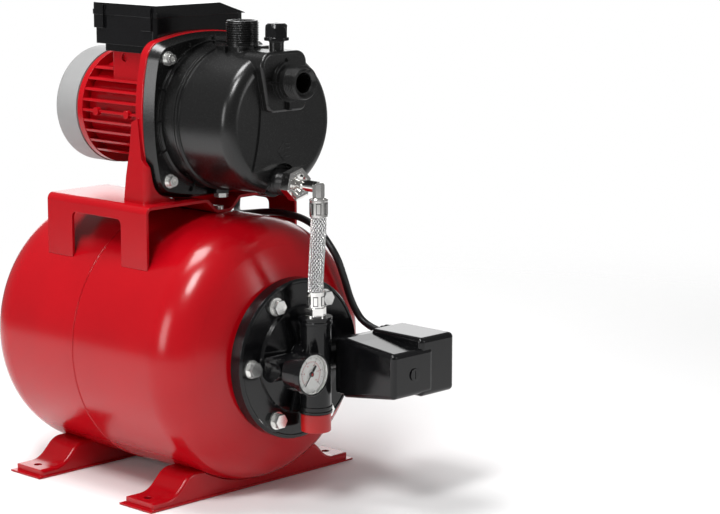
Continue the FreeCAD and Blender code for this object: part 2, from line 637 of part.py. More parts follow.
def route_edges(route, bend=None, report=None):
    """Straight runs and tangent arcs; unless given, each radius is set by the shorter run beside it."""
    spots = [V(*point) for point in route]
    edges, last = [], spots[0]
    for before, corner, after in zip(spots, spots[1:], spots[2:]):
        come, leave = (corner - before), (after - corner)
        turn = come.getAngle(leave)
        radius = bend or 0.45 * min(come.Length, leave.Length) / math.tan(turn / 2)
        reach = radius * math.tan(turn / 2)
        one = corner - come.normalize() * reach
        two = corner + leave.normalize() * reach
        apex_gap = radius / math.cos(turn / 2) - radius
        apex = corner + ((one + two) * 0.5 - corner).normalize() * apex_gap
        edges.append(Part.makeLine(last, one))
        edges.append(Part.Arc(one, apex, two).toShape())
        last = two
        if report is not None:
            report.append(round(radius, 1))
    edges.append(Part.makeLine(last, spots[-1]))
    return edges


# ---- Motor --------------------------------------------------------------------------------------

def squircle(half):
    """A square with bowed sides and rounded corners, as an outline; half is a formula."""
    a, b, corner, side = 0.7214, 0.9149, 0.262, 3.095
    spots = [(a, b), (-a, b), (-b, a), (-b, -a), (-a, -b), (a, -b), (b, -a), (b, a)]
    turns = [corner, side, corner, side, corner, side, corner, side]
    return [("(%s) * %s" % (half, x), "(%s) * %s" % (half, y), "(%s) * %s" % (half, turn))
            for (x, y), turn in zip(spots, turns)]


def corner_places(start, square="bolt_square"):
    """Four places at the corners of a square about the pump axis."""
    return [(start, "%d * %s" % (i, square), "pump_axis + %d * %s" % (j, square))
            for i in (-1, 1) for j in (-1, 1)]


def make_housing():
    barrel = ring("housing_barrel", "stator_radius", 50.5, "housing_back", "housing_front", PUMP)
    fins = [box("housing_fin%d" % n, ("housing_back", -60, "pump_axis + %d * fin_pitch - 1.3" % n),
                ("housing_front", 60, "pump_axis + %d * fin_pitch + 1.3" % n)) for n in range(-4, 5)]
    limit = cylinder("housing_limit", "motor_radius", 200, ("housing_back", 0, "pump_axis"), "+X")
    ribs = common("housing_ribs", [fuse("housing_fins", fins), limit])
    saddle = box("housing_saddle", (-52.3, -45, "pump_axis + 30"), (27.7, 45, "pump_axis + 62"))
    soft = rounded("housing_saddle_soft", saddle, 6, lambda edge: abs(edge.Length - 32) < 0.1)
    lugs = []
    for n, x in enumerate((-58.3, -10.3)):
        for side in (-1, 1):
            lug = cylinder("housing_lug%d%d" % (n, side + 1), 4.2, 5, (x, "%d * 57" % side, "pump_axis"),
                           "-Y" if side < 0 else "+Y")
            lugs.append(lug)
    whole = fuse("housing_whole", [barrel, ribs, soft] + lugs)
    bore = cylinder("housing_bore", "stator_radius", 200, ("housing_back - 10", 0, "pump_axis"), "+X")
    wires = cylinder("housing_wires", 6, 40, (-12, 0, "pump_axis + 30"))
    dimple = cylinder("housing_dimple", 4.5, 3, (-30.3, -42.5, "pump_axis + 56"), "-Y")
    node(cut("motor_housing", whole, [bore, wires, dimple]))


def make_rear_shield():
    back, front = "shield_back", "housing_back"
    profile = [(back, 10), (back + " + 2", 10), (back + " + 2", "bearing_radius"),
               (back + " + 14", "bearing_radius"), (back + " + 14", 21), (back + " + 5", 21),
               (back + " + 5", 42), (front + " + 4", 42), (front + " + 4", 45.6), (front, 45.6),
               (front, "motor_radius + 0.5"), (back + " + 1.5", "motor_radius + 0.5"),
               (back + " + 0.5", "motor_radius - 2"), (back, "motor_radius - 2.2")]
    node(turned("rear_shield", profile, PUMP))


def pedestal_leg():
    side = [(15.2, "bracket_top"), (49.7, "bracket_top"), (49.7, "bracket_top + 36"), (43,
            "bracket_top + 44"),
            (38, "pump_axis + 2"), (28.7, "pump_axis - 2"), (25, "pump_axis - 30"), (19, "bracket_top + 26")]
    solid = extruded("pedestal_leg_form", side, "50", "87", "XZ_Plane")
    soften(solid, 7, lambda edge: abs(edge.CenterOfMass.y + 87) < 0.1 and edge.CenterOfMass.x > 47)
    inside = [(10, "bracket_top + 5.5"), (33, "bracket_top + 5.5"), (33, "pump_axis + 10"), (10,
            "pump_axis + 10")]
    return cut("pedestal_leg", solid, [extruded("pedestal_leg_hollow", inside, "49", "82", "XZ_Plane")])


def make_pedestal():
    """The motor's front shield and its two legs, in one casting."""
    front = "housing_front"
    plate = extruded("pedestal_plate", squircle("flange_half + 1"), front, "casing_back", "YZ_Plane")
    soften(plate, 1.2, lambda edge: edge.CenterOfMass.x > 42.9)
    place(plate, PUMP)
    boss = turned("pedestal_boss", [("casing_back", 10), ("casing_back", 44), (front, 44), (front, 22),
                                    (front + " - 14", 22), (front + " - 14", "bearing_radius"),
                                    (front + " - 2", "bearing_radius"), (front + " - 2", 10)], PUMP)
    room = extruded("pedestal_room", squircle("flange_half + 1.2"), "casing_back", "casing_back + 20",
                    "YZ_Plane")
    place(room, PUMP)
    leg = pedestal_leg()
    whole = fuse("pedestal_whole", [plate, boss, leg, mirror_y("pedestal_far_leg", leg)])
    tools = [room, box("pedestal_floor", (0, -120, "bracket_top - 20"), (80, 120, "bracket_top"))]
    tools.append(cylinder("pedestal_eye", 10, 60, (front + " - 2", 0, "pump_axis"), "+X"))
    tools.append(cylinder("pedestal_seat", 15, 20, ("casing_back - 6", 0, "pump_axis"), "+X"))
    tools.append(cylinder("pedestal_race", "bearing_radius", 12, (front + " - 14", 0, "pump_axis"), "+X"))
    tools.append(ring("pedestal_clear", 22, "motor_radius + 1", front + " - 30", front, PUMP))
    for n, at in enumerate(corner_places(front + " - 20")):
        tools.append(cylinder("pedestal_hole%d" % n, 3.2, 60, at, "+X"))
        tools.append(cylinder("pedestal_nut_room%d" % n, 7.5, 20, at, "+X"))
    for side in (-1, 1):
        tools.append(cylinder("pedestal_bolt_hole%d" % side, 4.2, 20, (20, "%d * 64" % side,
                "bracket_top - 5")))
    spigot = ring("pedestal_spigot", 42, "stator_radius - 0.1", front + " - 4", front + " + 1", PUMP)
    node(fuse("motor_pedestal", [cut("pedestal_cut", whole, tools), spigot]))


def spoke(name, size, corner, degrees, tilt=0.0):
    """A box turned about the pump's axis; its corner is given before the turn, from the axis."""
    block = doc.addObject("Part::Box", name)
    bind(block, Length=size[0], Width=size[1], Height=size[2])
    spin = FreeCAD.Rotation(V(1, 0, 0), degrees)
    spot = spin.multVec(V(*[number(value) for value in corner])) + V(0, 0, number("pump_axis"))
    block.Placement = FreeCAD.Placement(spot, spin.multiply(FreeCAD.Rotation(V(1, 0, 0), tilt)))
    return block


def make_rotor():
    shaft = [("shield_back - 27", 5.9), ("shield_back + 1", 5.9), ("shield_back + 1", "shaft_radius"),
             ("casing_back + 12", "shaft_radius"), ("casing_back + 12", 6), ("casing_back + 38", 6),
             ("casing_back + 38", 0), ("shield_back - 27", 0)]
    node(turned("rotor_shaft", shaft, PUMP))
    core = ring("rotor_stack", "shaft_radius", "rotor_radius", "stack_back", "stack_front", PUMP)
    bars = ring("rotor_end_rings", 18, 27, "stack_back - 6", "stack_front + 6", PUMP)
    vanes = [spoke("rotor_vane%d" % n, ("stack_front - stack_back + 22", 2, 8), ("stack_back - 11", -1,
            18.5), 45 * n)
             for n in range(8)]
    node(fuse("rotor_core", [core, bars] + vanes))


def make_bearings():
    for label, start in (("rear_bearing", "shield_back + 2.2"), ("front_bearing", "housing_front - 13")):
        end = start + " + bearing_width"
        outer = ring(label + "_outer", 14.5, "bearing_radius", start, end, PUMP)
        inner = ring(label + "_inner", "shaft_radius + 0.05", 10.4, start, end, PUMP)
        cage = ring(label + "_cage", 10.4, 14.5, start + " + 1.5", end + " - 1.5", PUMP)
        node(fuse(label, [outer, inner, cage]))


def make_cooling_fan():
    hub = ring("fan_hub", 6, 12, "shield_back - 26", "shield_back - 8", PUMP)
    disc = ring("fan_disc", 11, 50, "shield_back - 10.5", "shield_back - 8", PUMP)
    blades = [spoke("fan_blade%d" % n, (13, 2, 40), ("shield_back - 22.5", -1, 10.5), 360.0 * n / 7)
              for n in range(7)]
    node(fuse("cooling_fan", [hub, disc] + blades))


def make_stator():
    node(ring("stator_core", "rotor_radius + 0.4", "stator_radius", "stack_back", "stack_front", PUMP))
    ends = (("stack_back", -1, "stack_back - 8", "stack_back", "stack_back - 17", "stack_back"),
            ("stack_front", 1, "stack_front", "stack_front + 8", "stack_front", "stack_front + 15"))
    pieces = []
    for label, side, band_low, band_high, low, high in ends:
        coils = [winding("%s_coil%d" % (label, n), label, side, 45 * n + 22.5) for n in range(8)]
        band = ring(label + "_band", 32, 42, band_low, band_high, PUMP)
        limit = ring(label + "_limit", 31, 44, low, high, PUMP)
        pieces.append(common(label + "_winding", [fuse(label + "_coils", coils + [band]), limit]))
    node(group("stator_windings", pieces))


def winding(name, end, side, degrees):
    """One coil's loop where it stands out of the stator's end."""
    coil = doc.addObject("Part::Torus", name)
    bind(coil, Radius1=9.5, Radius2=3.0)
    spin = FreeCAD.Rotation(V(1, 0, 0), degrees)
    spot = spin.multVec(V(number(end) + side * 5, 0, 36.2)) + V(0, 0, number("pump_axis"))
    coil.Placement = FreeCAD.Placement(spot, spin)
    return coil


def make_fan_cover():
    back, r = "cover_back", "cover_radius"
    profile = [("shield_back", r + " - 2"), ("shield_back", r), (back + " + 6", r), (back, r + " - 6", 6),
               (back, 0), (back + " + 2", 0), (back + " + 2", r + " - 7"), (back + " + 7", r + " - 2", -5)]
    cup = turned("fan_cover_cup", profile, PUMP)
    slots = []
    for n in range(-4, 5):
        reach = math.sqrt(50.0 ** 2 - (11.0 * n) ** 2)
        slots.append(box("fan_slot%d" % (n + 4), ("cover_back - 5", -reach,
                                                  "pump_axis + %d - 2.4" % (11 * n)),
                         ("cover_back + 4", reach, "pump_axis + %d + 2.4" % (11 * n))))
    node(cut("fan_cover", cup, slots))


# ---- Pump ---------------------------------------------------------------------------------------

def make_seals():
    seal = [("casing_back + 0.6", "shaft_radius"), ("casing_back + 11.8", "shaft_radius"),
            ("casing_back + 11.8", 12),
            ("casing_back + 9.5", 14), ("casing_back + 3", 12.5), ("casing_back + 0.6", 12.5)]
    node(turned("shaft_seal", seal, PUMP))
    node(ring("seal_seat", "shaft_radius + 0.8", 15, "casing_back - 6", "casing_back + 0.3", PUMP))


def make_impeller():
    base = "casing_back + 12"
    disc = [(base, 6), (base + " + 17", 6), (base + " + 17", 9), (base + " + 9", 11), (base + " + 3.5", 20),
            (base + " + 3", 58), (base, 58)]
    back = turned("impeller_back", disc, PUMP)
    shroud = turned("impeller_shroud", [(base + " + 15", 17.0), (base + " + 11.5", 20),
                                        (base + " + 7.5", 57.9),
                                        (base + " + 9.5", 57.9), (base + " + 13.5",
                                                21.5), (base + " + 17", 19.0)], PUMP)
    vanes = [spoke("impeller_vane%d" % n, (7, 1.8, 39), ("casing_back + 14", 0, 20), 60 * n,
                   24) for n in range(6)]
    limit = ring("impeller_limit", 14, 57.9, base, base + " + 12", PUMP)
    clipped = common("impeller_vanes", [fuse("impeller_vane_set", vanes), limit])
    nut = prism("impeller_nut", 15, 6, ("casing_back + 28.8", 0, "pump_axis"), "+X")
    bore = cylinder("impeller_nut_bore", 6, 20, ("casing_back + 25", 0, "pump_axis"), "+X")
    node(fuse("impeller", [back, shroud, clipped, cut("impeller_nut_ring", nut, [bore])]))


def make_ejector():
    """The diffuser with its venturi, and the nozzle that the returning water leaves through."""
    start = "casing_back + 30"
    wall = [(start, 20), (start + " + 3", 20), (start + " + 8", 15), (start + " + 55", 10.5),
            (start + " + 66", 10.5),
            (start + " + 66", 14.5), (start + " + 55", 14.5), (start + " + 12", 19), (start + " + 8", 24),
            (start + " + 4", 66), (start + " - 18", 66), (start + " - 18", 61), (start + " - 1",
                    61), (start, 40)]
    node(turned("diffuser", wall, PUMP))
    nozzle = [("casing_back + 86", 3.2), ("casing_back + 100", 7.5), ("casing_back + 104", 7.5),
              ("casing_back + 104", 12.2), ("casing_back + 101", 12.2), ("casing_back + 99", 9.2),
              ("casing_back + 86", 4.6)]
    node(turned("jet_nozzle", nozzle, PUMP))


def casing_shell():
    """The plate with its ribbed ridge, the drum, and the flat band down the middle of its front."""
    front = "casing_front"
    plate = extruded("casing_plate", squircle("flange_half"), "casing_back", front, "YZ_Plane",
                     "-plate_taper")
    place(plate, PUMP)
    drum = [(front, "bead_radius + 3"), (front + " + 2", "drum_radius + 0.6"), ("bead_x - 4", "drum_radius"),
            ("bead_x - 3", "bead_radius"), ("bead_x - 0.6", "bead_radius"), ("bead_x", "drum_radius + 0.6"),
            ("bead_x + 0.6", "bead_radius"), ("bead_x + 3", "bead_radius"), ("bead_x + 4", "drum_radius"),
            ("drum_front", "drum_radius - 0.4"), ("drum_front + 13", "drum_radius - 13.4", -13),
            ("drum_front + 13", 0), (front + " - 1", 0), (front + " - 1", "bead_radius + 3")]
    solids = [plate, turned("casing_drum", drum, PUMP)]
    solids.append(ring("casing_ridge", 75, 76.6, front + " - 1", front + " + 1.6", PUMP))
    solids += [spoke("casing_rib%d_%d" % (turn, lean), (2.4, 1.6, 9), ("casing_front - 1", -0.8, 71),
                     turn + lean)
               for turn in (0, 90, 180, 270) for lean in (-24, 0, 24)]
    shape = [("block_half + 2.6", "pump_axis - 45"), ("block_half + 2.6", "pump_axis + 63"),
             (-33, "pump_axis + 63"), (-40, "pump_axis - 45", -208)]
    band = extruded("casing_band", shape, "drum_front - 8", "band_x", "YZ_Plane")
    limit = cylinder("casing_band_limit", "drum_radius - 2.5", 80, ("drum_front - 20", 0, "pump_axis"), "+X")
    solids.append(common("casing_band_form", [band, limit]))
    return solids


def suction_solids():
    """The raised block on the front, the collar, its four ribs and the threaded suction spigot."""
    low, half = "suction_z - 30", "block_half"
    shape = [(half + " - 9", low), (half, low + " + 9", 9), (half, "suction_z + 17.4"), (15,
            "suction_z + 29.4", 12),
             (-20, "suction_z + 29.4"), (-34, "suction_z + 15.4", 14), ("-block_half", low + " + 9"),
             ("9 - block_half", low, 9)]
    block = extruded("casing_block", shape, "drum_front - 8", "block_x", "YZ_Plane")
    soften(block, 3, lambda edge: edge.CenterOfMass.x > SIZE["block_x"] - 0.1)
    solids = [block, cylinder("suction_collar", 20, 6, ("block_x - 1", 0, "suction_z"), "+X")]
    solids.append(box("suction_rib_up", ("block_x - 1", -1.4, "suction_z - 28"), ("block_x + 4.6", 1.4,
            "suction_z + 10")))
    solids.append(box("suction_rib_across", ("block_x - 1", "-block_half", "suction_z - 1.4"),
                      ("block_x + 4.6", "block_half", "suction_z + 1.4")))
    web = [("filler_x + 3", "suction_z"), ("block_x + 5", "suction_z"), ("block_x + 5", "suction_z + 19"),
           ("filler_x + 3", "filler_top - 3")]
    solids.append(extruded("suction_web", web, "-1.3", "1.3", "XZ_Plane"))
    solids.append(thread("suction_thread", "port_radius", "suction_end - block_x + 1",
                         ("block_x - 1", 0, "suction_z"), "+X", 6))
    return solids


def delivery_solids():
    """The pad, the four gussets and the threaded spigot on top, and the neck of the filler."""
    pad_form = box("delivery_base", ("delivery_x - 21", -21, "pump_axis + 50"), ("delivery_x + 21", 21,
            "delivery_top - 25"))
    solids = [rounded("delivery_base_soft", pad_form, 8,
                      lambda edge: abs(edge.BoundBox.ZLength - edge.Length) < 1e-6)]
    solids.append(thread("delivery_thread", "port_radius", "delivery_top - pump_axis - 64",
                         ("delivery_x", 0, "pump_axis + 64"), "+Z", 9))
    for n, turn in enumerate(((25, 1.4), (1.4, 25))):
        low = ("delivery_x - %s" % turn[0], -turn[1], "pump_axis + 60")
        high = ("delivery_x + %s" % turn[0], turn[1], "delivery_top - 24")
        solids.append(box("delivery_gusset%d" % n, low, high))
    solids.append(cylinder("filler_tube", 7.2, "filler_top - pump_axis - 55", ("filler_x", 0,
            "pump_axis + 55")))
    solids.append(cylinder("drain_base", 8, 12, ("drain_x", 0, "pump_axis - 78")))
    solids.append(cylinder("outlet_base", 16, 14, (128, 0, "outlet_z"), "+X"))
    return solids


def casing_hollows():
    """Everything that is taken out of the casing."""
    tools = [cylinder("casing_room", 66.3, "drum_front - casing_back - 4", ("casing_back - 1", 0,
            "pump_axis"), "+X")]
    tools.append(box("casing_suction_room", ("drum_front - 6", -15, "pump_axis - 15"), ("band_x - 5",
            15, "suction_z + 10")))
    tools.append(cylinder("casing_suction_bore", "suction_bore", 60, ("band_x - 12", 0, "suction_z"), "+X"))
    tools.append(cone("casing_suction_mouth", 11.2, 14.2, 3.1, ("suction_end - 3", 0, "suction_z"), "+X"))
    tools.append(cylinder("casing_delivery_bore", "delivery_bore", 70, ("delivery_x", 0, "pump_axis + 50")))
    tools.append(cylinder("casing_filler_bore", "filler_bore", 50, ("filler_x", 0, "suction_z + 2")))
    tools.append(cylinder("casing_outlet_recess", 19, 40, (142, 0, "outlet_z"), "+X"))
    tools.append(cylinder("casing_outlet_bore", 8.6, 30, (120, 0, "outlet_z"), "+X"))
    tools.append(cylinder("casing_drain_bore", 4.1, 20, ("drain_x", 0, "pump_axis - 82")))
    tools.append(box("casing_floor", ("casing_back - 2", -120, "bracket_top - 20"), (62, 120,
            "bracket_top + 0.6")))
    for n, at in enumerate(corner_places("casing_back - 5")):
        tools.append(cylinder("casing_hole%d" % n, 3.2, 60, at, "+X"))
    for n, at in enumerate(corner_places("casing_front")):
        tools.append(cylinder("casing_spot%d" % n, 8.0, 30, at, "+X"))
    return tools


def make_casing():
    whole = fuse("casing_whole", casing_shell() + suction_solids() + delivery_solids())
    boss = thread("outlet_thread", "outlet_radius", 16.7, (137, 0, "outlet_z"), "+X", 4)
    bore = cylinder("outlet_bore", 8.6, 40, (120, 0, "outlet_z"), "+X")
    node(fuse("pump_casing", [cut("casing_cut", whole, casing_hollows()), cut("outlet_boss", boss, [bore])]))


def thread(name, radius, length, at, along, turns):
    """A spigot with pipe-thread ridges near its end; below them it is slightly thinner."""
    start = "%s - %d * pitch" % (length, turns)
    points = [(0, 0), (radius + " - 0.6", 0), (radius + " - 0.6", start + " - 1.2"), (radius,
            start + " - 0.6")]
    for n in range(turns):
        low = "%s + %d * pitch" % (start, n)
        points.append((radius, low))
        points.append((radius + " - 1.1", low + " + 0.7"))
        points.append((radius + " - 1.1", low + " + 1.0"))
        points.append((radius if n < turns - 1 else radius + " - 0.6", low + " + 1.7"))
    points.append((radius + " - 1.2", length))
    points.append((0, length))
    body = turned(name, points, at, "V_Axis")
    place(body, at, TURNS[along])
    return body


def make_casing_bolts():
    pieces = []
    for n, (x, y, z) in enumerate(corner_places("casing_front")):
        washer = cylinder("casing_bolt_washer%d" % n, 7.2, 1.6, (x, y, z), "+X")
        head = cylinder("casing_bolt_head%d" % n, 5, 6, (x + " + 1.6", y, z), "+X")
        shank = cylinder("casing_bolt_shank%d" % n, 2.9, 37, (x + " - 35", y, z), "+X")
        socket = prism("casing_bolt_socket%d" % n, 5, 4, (x + " + 4.6", y, z), "+X")
        nut = prism("casing_bolt_nut%d" % n, 10, 5, ("housing_front - 5", y, z), "+X")
        pieces.append(cut("casing_bolt%d" % n, fuse("casing_bolt_form%d" % n, [washer, head, shank,
                nut]), [socket]))
    node(group("casing_bolts", pieces))


def make_plugs():
    """The drain plug, and the filler's seal and screw cap."""
    shank = cylinder("drain_shank", 4.0, 10, ("drain_x", 0, "pump_axis - 78"))
    node(fuse("drain_plug", [shank, prism("drain_head", 13, 4.4, ("drain_x", 0, "pump_axis - 82.4"))]))
    at = ("filler_x", 0, "filler_top")
    node(turned("filler_seal", [("filler_bore + 0.3", 0), (7.6, 0), (7.6, 1.6), ("filler_bore + 0.3", 1.6)],
                at, "V_Axis"))
    plug = turned("filler_plug", [(0, -9), ("filler_bore - 0.3", -9), ("filler_bore - 0.3", 1.7), (11.8, 1.7),
                                  (12.3, 2.2), (12.3, 4.4), (11.9, 5.0), (0, 5.0)], at, "V_Axis")
    hexagon = prism("filler_hex", 21.4, 16, ("filler_x", 0, "filler_top + 4"), "+Z", 12)
    envelope = turned("filler_envelope", [(0, 4.2), (13, 4.2), (12.1, 9), (11.6, 14.2), (10.2, 17.4),
                                          (8.4, 18.6),
                                          (0, 19.4)], at, "V_Axis")
    grip = common("filler_grip", [hexagon, envelope])
    node(fuse("filler_cap", [plug, grip]))


# ---- Terminal box -------------------------------------------------------------------------------

def make_terminal_box():
    outer = rounded("box_body", box("box_form", ("box_back", "box_near", "box_bottom"),
                                    ("box_front", "box_far", "box_rim")), 5,
                    lambda edge: abs(edge.BoundBox.ZLength - edge.Length) < 1e-6)
    neck = box("box_neck", ("box_back + 8", "box_near + 8", "pump_axis + 62"),
               ("box_front - 4.8", "box_far - 8", "box_bottom + 1"))
    hollow = box("box_hollow", ("box_back + 2.2", "box_near + 2.2", "box_bottom + 2.2"),
                 ("box_front - 2.2", "box_far - 2.2", "box_rim + 5"))
    wires = cylinder("box_wires", 6, 20, (-12, 0, "pump_axis + 58"))
    gland = cylinder("box_gland_hole", 6, 20, (-12, "box_far - 10", "box_rim - 19"), "+Y")
    lugs = []
    for x in (-52, 22):
        for side, low, high in (("near", "box_near - 2.6", "box_near + 3"), ("far", "box_far - 3",
                "box_far + 2.6")):
            lug = box("box_lug_%s%d" % (side, x + 52), (x - 7.2, low, "box_rim - 13.5"), (x + 7.2, high,
                    "box_rim"))
            lugs.append(lug)
    node(cut("terminal_box", fuse("box_whole", [outer, neck] + lugs), [hollow, wires, gland]))


def lid_layer(name, margin, low, high, slope_shift):
    """One layer of the lid: a box whose far part is cut by the slope."""
    form = box(name + "_form", ("box_back - %s" % margin, "box_near - %s" % margin, low),
               ("lid_front + %s" % margin, "box_far + %s" % margin, high))
    shape = [("25", "box_top + 1.6 - %s" % slope_shift), ("box_far + 5",
                                                          "box_rim - 1 - %s * 0.2" % slope_shift),
             ("box_far + 5", "box_top + 20"), ("25", "box_top + 20")]
    return cut(name, form, [extruded(name + "_slope", shape, "box_back - 20", "lid_front + 20", "YZ_Plane")])


def make_box_lid():
    skirt = lid_layer("lid_skirt", 0.8, "box_rim", "box_rim + 5.2", 0)
    crown = lid_layer("lid_crown", 0.1, "box_rim", "box_top + 1", 0)
    inside = box("lid_inside", ("box_back + 2", "box_near + 2", "box_rim - 5"), ("box_front - 2", 22,
            "box_top - 1.5"))
    tabs = [box("lid_tab%d" % n, (x - 7.2, "box_near - 2.6", "box_rim"), (x + 7.2, "box_near + 3",
            "box_top - 1"))
            for n, x in enumerate((-52, 22))]
    node(cut("terminal_box_lid", fuse("lid_whole", [skirt, crown] + tabs), [inside]))


def make_box_contents():
    node(turned("capacitor", [(-30, 0), (-30, 14), (26, 14), (28, 12), (28, 0)], (-12, -34,
            "box_bottom + 17")))
    block = box("terminal_base", (-34, -4, "box_bottom + 2.2"), (12, 18, "box_bottom + 12"))
    posts = [cylinder("terminal_post%d_%d" % (x + 28, y), 2.4, 6, (x, y, "box_bottom + 12"))
             for x in (-28, -11, 6) for y in (1, 13)]
    hole = cylinder("terminal_hole", 6.2, 30, (-12, 0, "box_bottom - 5"))
    node(cut("terminal_block", fuse("terminal_whole", [block] + posts), [hole]))
    profile = [(-6, 3.9), (-6, 5.9), (0, 5.9), (0, 8.6), (5, 8.6), (5, 7.6), (11, 7.0), (12, 5.8), (12,
            4.9), (5, 3.9)]
    gland = node(turned("motor_gland", profile))
    place(gland, (-12, "box_far", "box_rim - 19"), FreeCAD.Rotation(V(0, 0, 1), 90))


# ---- Pressure switch ----------------------------------------------------------------------------

def make_switch_base():
    x0, b, t = "switch_back", "switch_bottom", "switch_top"
    plate = rounded("switch_plate_soft", box("switch_plate", (x0, 21, b + " + 1"), (x0 + " + 12", 106,
            t + " - 3")), 6,
                    lambda edge: abs(edge.Length - 12) < 0.1)
    room = box("switch_room", (x0 + " + 2.5", 23.5, b + " + 3.5"), (x0 + " + 20", 103.5, t + " - 5.5"))
    port = cylinder("switch_port", 5.2, 30, (x0 + " - 5", "switch_port_y", "tank_axis"), "+X")
    ways = [cylinder("switch_way%d" % n, 5, 20, (x0 + " - 5", "gland_y", z), "+X")
            for n, z in enumerate(("gland_z", "gland_z - 30"))]
    node(cut("switch_base", plate, [room, port] + ways))


def make_switch_cover():
    x0, b, t = "switch_back", "switch_bottom", "switch_top"
    near = [(x0 + " + 12.2", b + " - 0.5"), (x0 + " + 29", b + " + 1.5"), ("switch_front", b + " + 8"),
            ("switch_front", t + " - 8.5"), (x0 + " + 29", t + " - 3.5"), (x0 + " + 12.2", t + " - 1.5")]
    wedge = extruded("cover_wedge", near, "-77", "-switch_near", "XZ_Plane")
    soften(wedge, 5, lambda edge: abs(edge.Length - 57) < 0.5 and edge.CenterOfMass.x > 280
           or (abs(edge.CenterOfMass.y - 77) < 0.1 or abs(edge.CenterOfMass.y - 20) < 0.1) and edge.CenterOfMass.x > 222)
    far = box("cover_far_form", (x0 + " + 12.2", 60, b + " + 4"), ("switch_front - 0.8", 108.5, t + " + 2"))
    far_soft = rounded("cover_far_soft", far, 5, lambda edge: edge.CenterOfMass.x > 222)
    hollow = [(x0 + " + 10", b + " + 3"), (x0 + " + 28", b + " + 4.5"), ("switch_front - 3", b + " + 11"),
              ("switch_front - 3", t + " - 11.5"), (x0 + " + 28", t + " - 6.5"), (x0 + " + 10", t + " - 5")]
    tools = [extruded("cover_hollow_near", hollow, "-74", "-23", "XZ_Plane")]
    tools.append(box("cover_hollow_far", (x0 + " + 10", 62, b + " + 7"), ("switch_front - 9", 105,
            t + " - 1")))
    tools.append(cylinder("cover_screw_hole", 3.1, 20, ("switch_front - 10", 49.6, "tank_axis - 7"), "+X"))
    node(cut("switch_cover", fuse("cover_whole", [wedge, far_soft]), tools))
    at = (49.6, "tank_axis - 7")
    head = cylinder("cover_screw_head", 6.2, "screw_rise - 0.05", ("switch_front + 0.05",) + at, "+X")
    shank = cylinder("cover_screw_shank", 2.9, 60, ("switch_front - 59.9",) + at, "+X")
    slot = box("cover_screw_slot", ("switch_front + 0.5", 49, "tank_axis - 11"),
               ("switch_front + 4", 50.2, "tank_axis - 3"))
    node(cut("switch_cover_screw", fuse("cover_screw_whole", [head, shank]), [slot]))


def make_switch_works():
    x0, b, t = "switch_back", "switch_bottom", "switch_top"
    stem = cylinder("switch_stem", 4.7, 18, (x0 + " - 11", "switch_port_y", "tank_axis"), "+X")
    drum = cylinder("switch_capsule", 18, 9, (x0 + " + 3", "switch_port_y + 6", "tank_axis - 2"), "+X")
    bore = cylinder("switch_stem_bore", 2.5, 16, (x0 + " - 12", "switch_port_y", "tank_axis"), "+X")
    node(cut("switch_diaphragm", fuse("switch_sensor", [stem, drum]), [bore]))
    springs = []
    for n, (y, r, reach) in enumerate(((49.6, 6.5, 40), (68, 4.2, 24))):
        core = ring("spring_tube%d" % n, r - 1.4, r, x0 + " + 14", x0 + " + 14 + %d" % reach, (0, y,
                "tank_axis - 7"))
        grooves = [ring("spring_groove%d_%d" % (n, k), r - 0.9, r + 1, x0 + " + %.2f" % (15.5 + 3 * k),
                        x0 + " + %.2f" % (16.9 + 3 * k), (0, y,
                                                          "tank_axis - 7")) for k in range(reach // 3 - 1)]
        springs.append(cut("switch_spring%d" % n, core, grooves))
    node(group("switch_springs", springs))
    block = box("contact_frame", (x0 + " + 12.5", 78, b + " + 8"), (x0 + " + 30", 103, t + " - 4"))
    posts = [cylinder("contact_screw%d_%d" % (y, z), 2.4, 8, (x0 + " + 30", y, b + " + %d" % z), "+X")
             for y in (84, 96) for z in (16, 30, 44)]
    way = cylinder("contact_way", 5.5, 40, (x0, "gland_y", "gland_z"), "+X")
    node(cut("switch_contacts", fuse("contact_whole", [block] + posts), [way]))


def make_switch_glands():
    """The upper gland holds the lead to the motor; the lower one is closed."""
    shell = [(-13, 6.5), (-12, 7.5), (-6, 8), (-6, 9.4), (0, 9.4), (0, 4.9), (6, 4.9)]
    top = turned("switch_gland_open", [(-13, 4.9)] + shell + [(6, 3.9), (-5, 3.9)],
                 ("switch_back", "gland_y", "gland_z"))
    low = turned("switch_gland_closed", [(-13, 0)] + shell + [(6, 0)], ("switch_back", "gland_y",
            "gland_z - 30"))
    node(group("switch_glands", [top, low]))


# The lead from the switch to the motor: under the bracket, out through its far window, up behind.
CABLE_ROUTE = [(200, 100, 157), (172, 99, 160), (157, 94, 183), (156, 84, 212), (151, 77, 237), (114,
        80, 266),
               (57, 82, 269), (10, 84, 261), (-21, 98, 256), (-37, 116, 278), (-39, 121, 308), (-34,
                       122, 362),
               (-16, 117, 444), (-12, 70.5, 456.5)]


def make_cable():
    radii = []
    route_edges(CABLE_ROUTE, report=radii)
    lead = node(tube("motor_cable", CABLE_ROUTE, SIZE["cable_radius"], 0))
    length = Part.Wire(route_edges(CABLE_ROUTE)).Length
    print("cable bend radii", radii, "length", round(length, 1),
          "volume ratio", round(lead.Shape.Volume / (math.pi * SIZE["cable_radius"] ** 2 * length), 4))


# Half the way between the tip of the air valve's cap and the head of the switch's screw.
FRAME_SHIFT = "(tank_back - head_depth - 16.4 + switch_front + screw_rise) / 2"


def centre_frame():
    """Move every node along X, so that the origin is under the middle of the whole unit."""
    for thing in NODES:
        formula = "(%s) - %s" % (ROW_X.get(thing.Name, "0"), FRAME_SHIFT)
        thing.setExpression(".Placement.Base.x", expression(formula))
    doc.recompute()
    print("frame shift", number(FRAME_SHIFT))


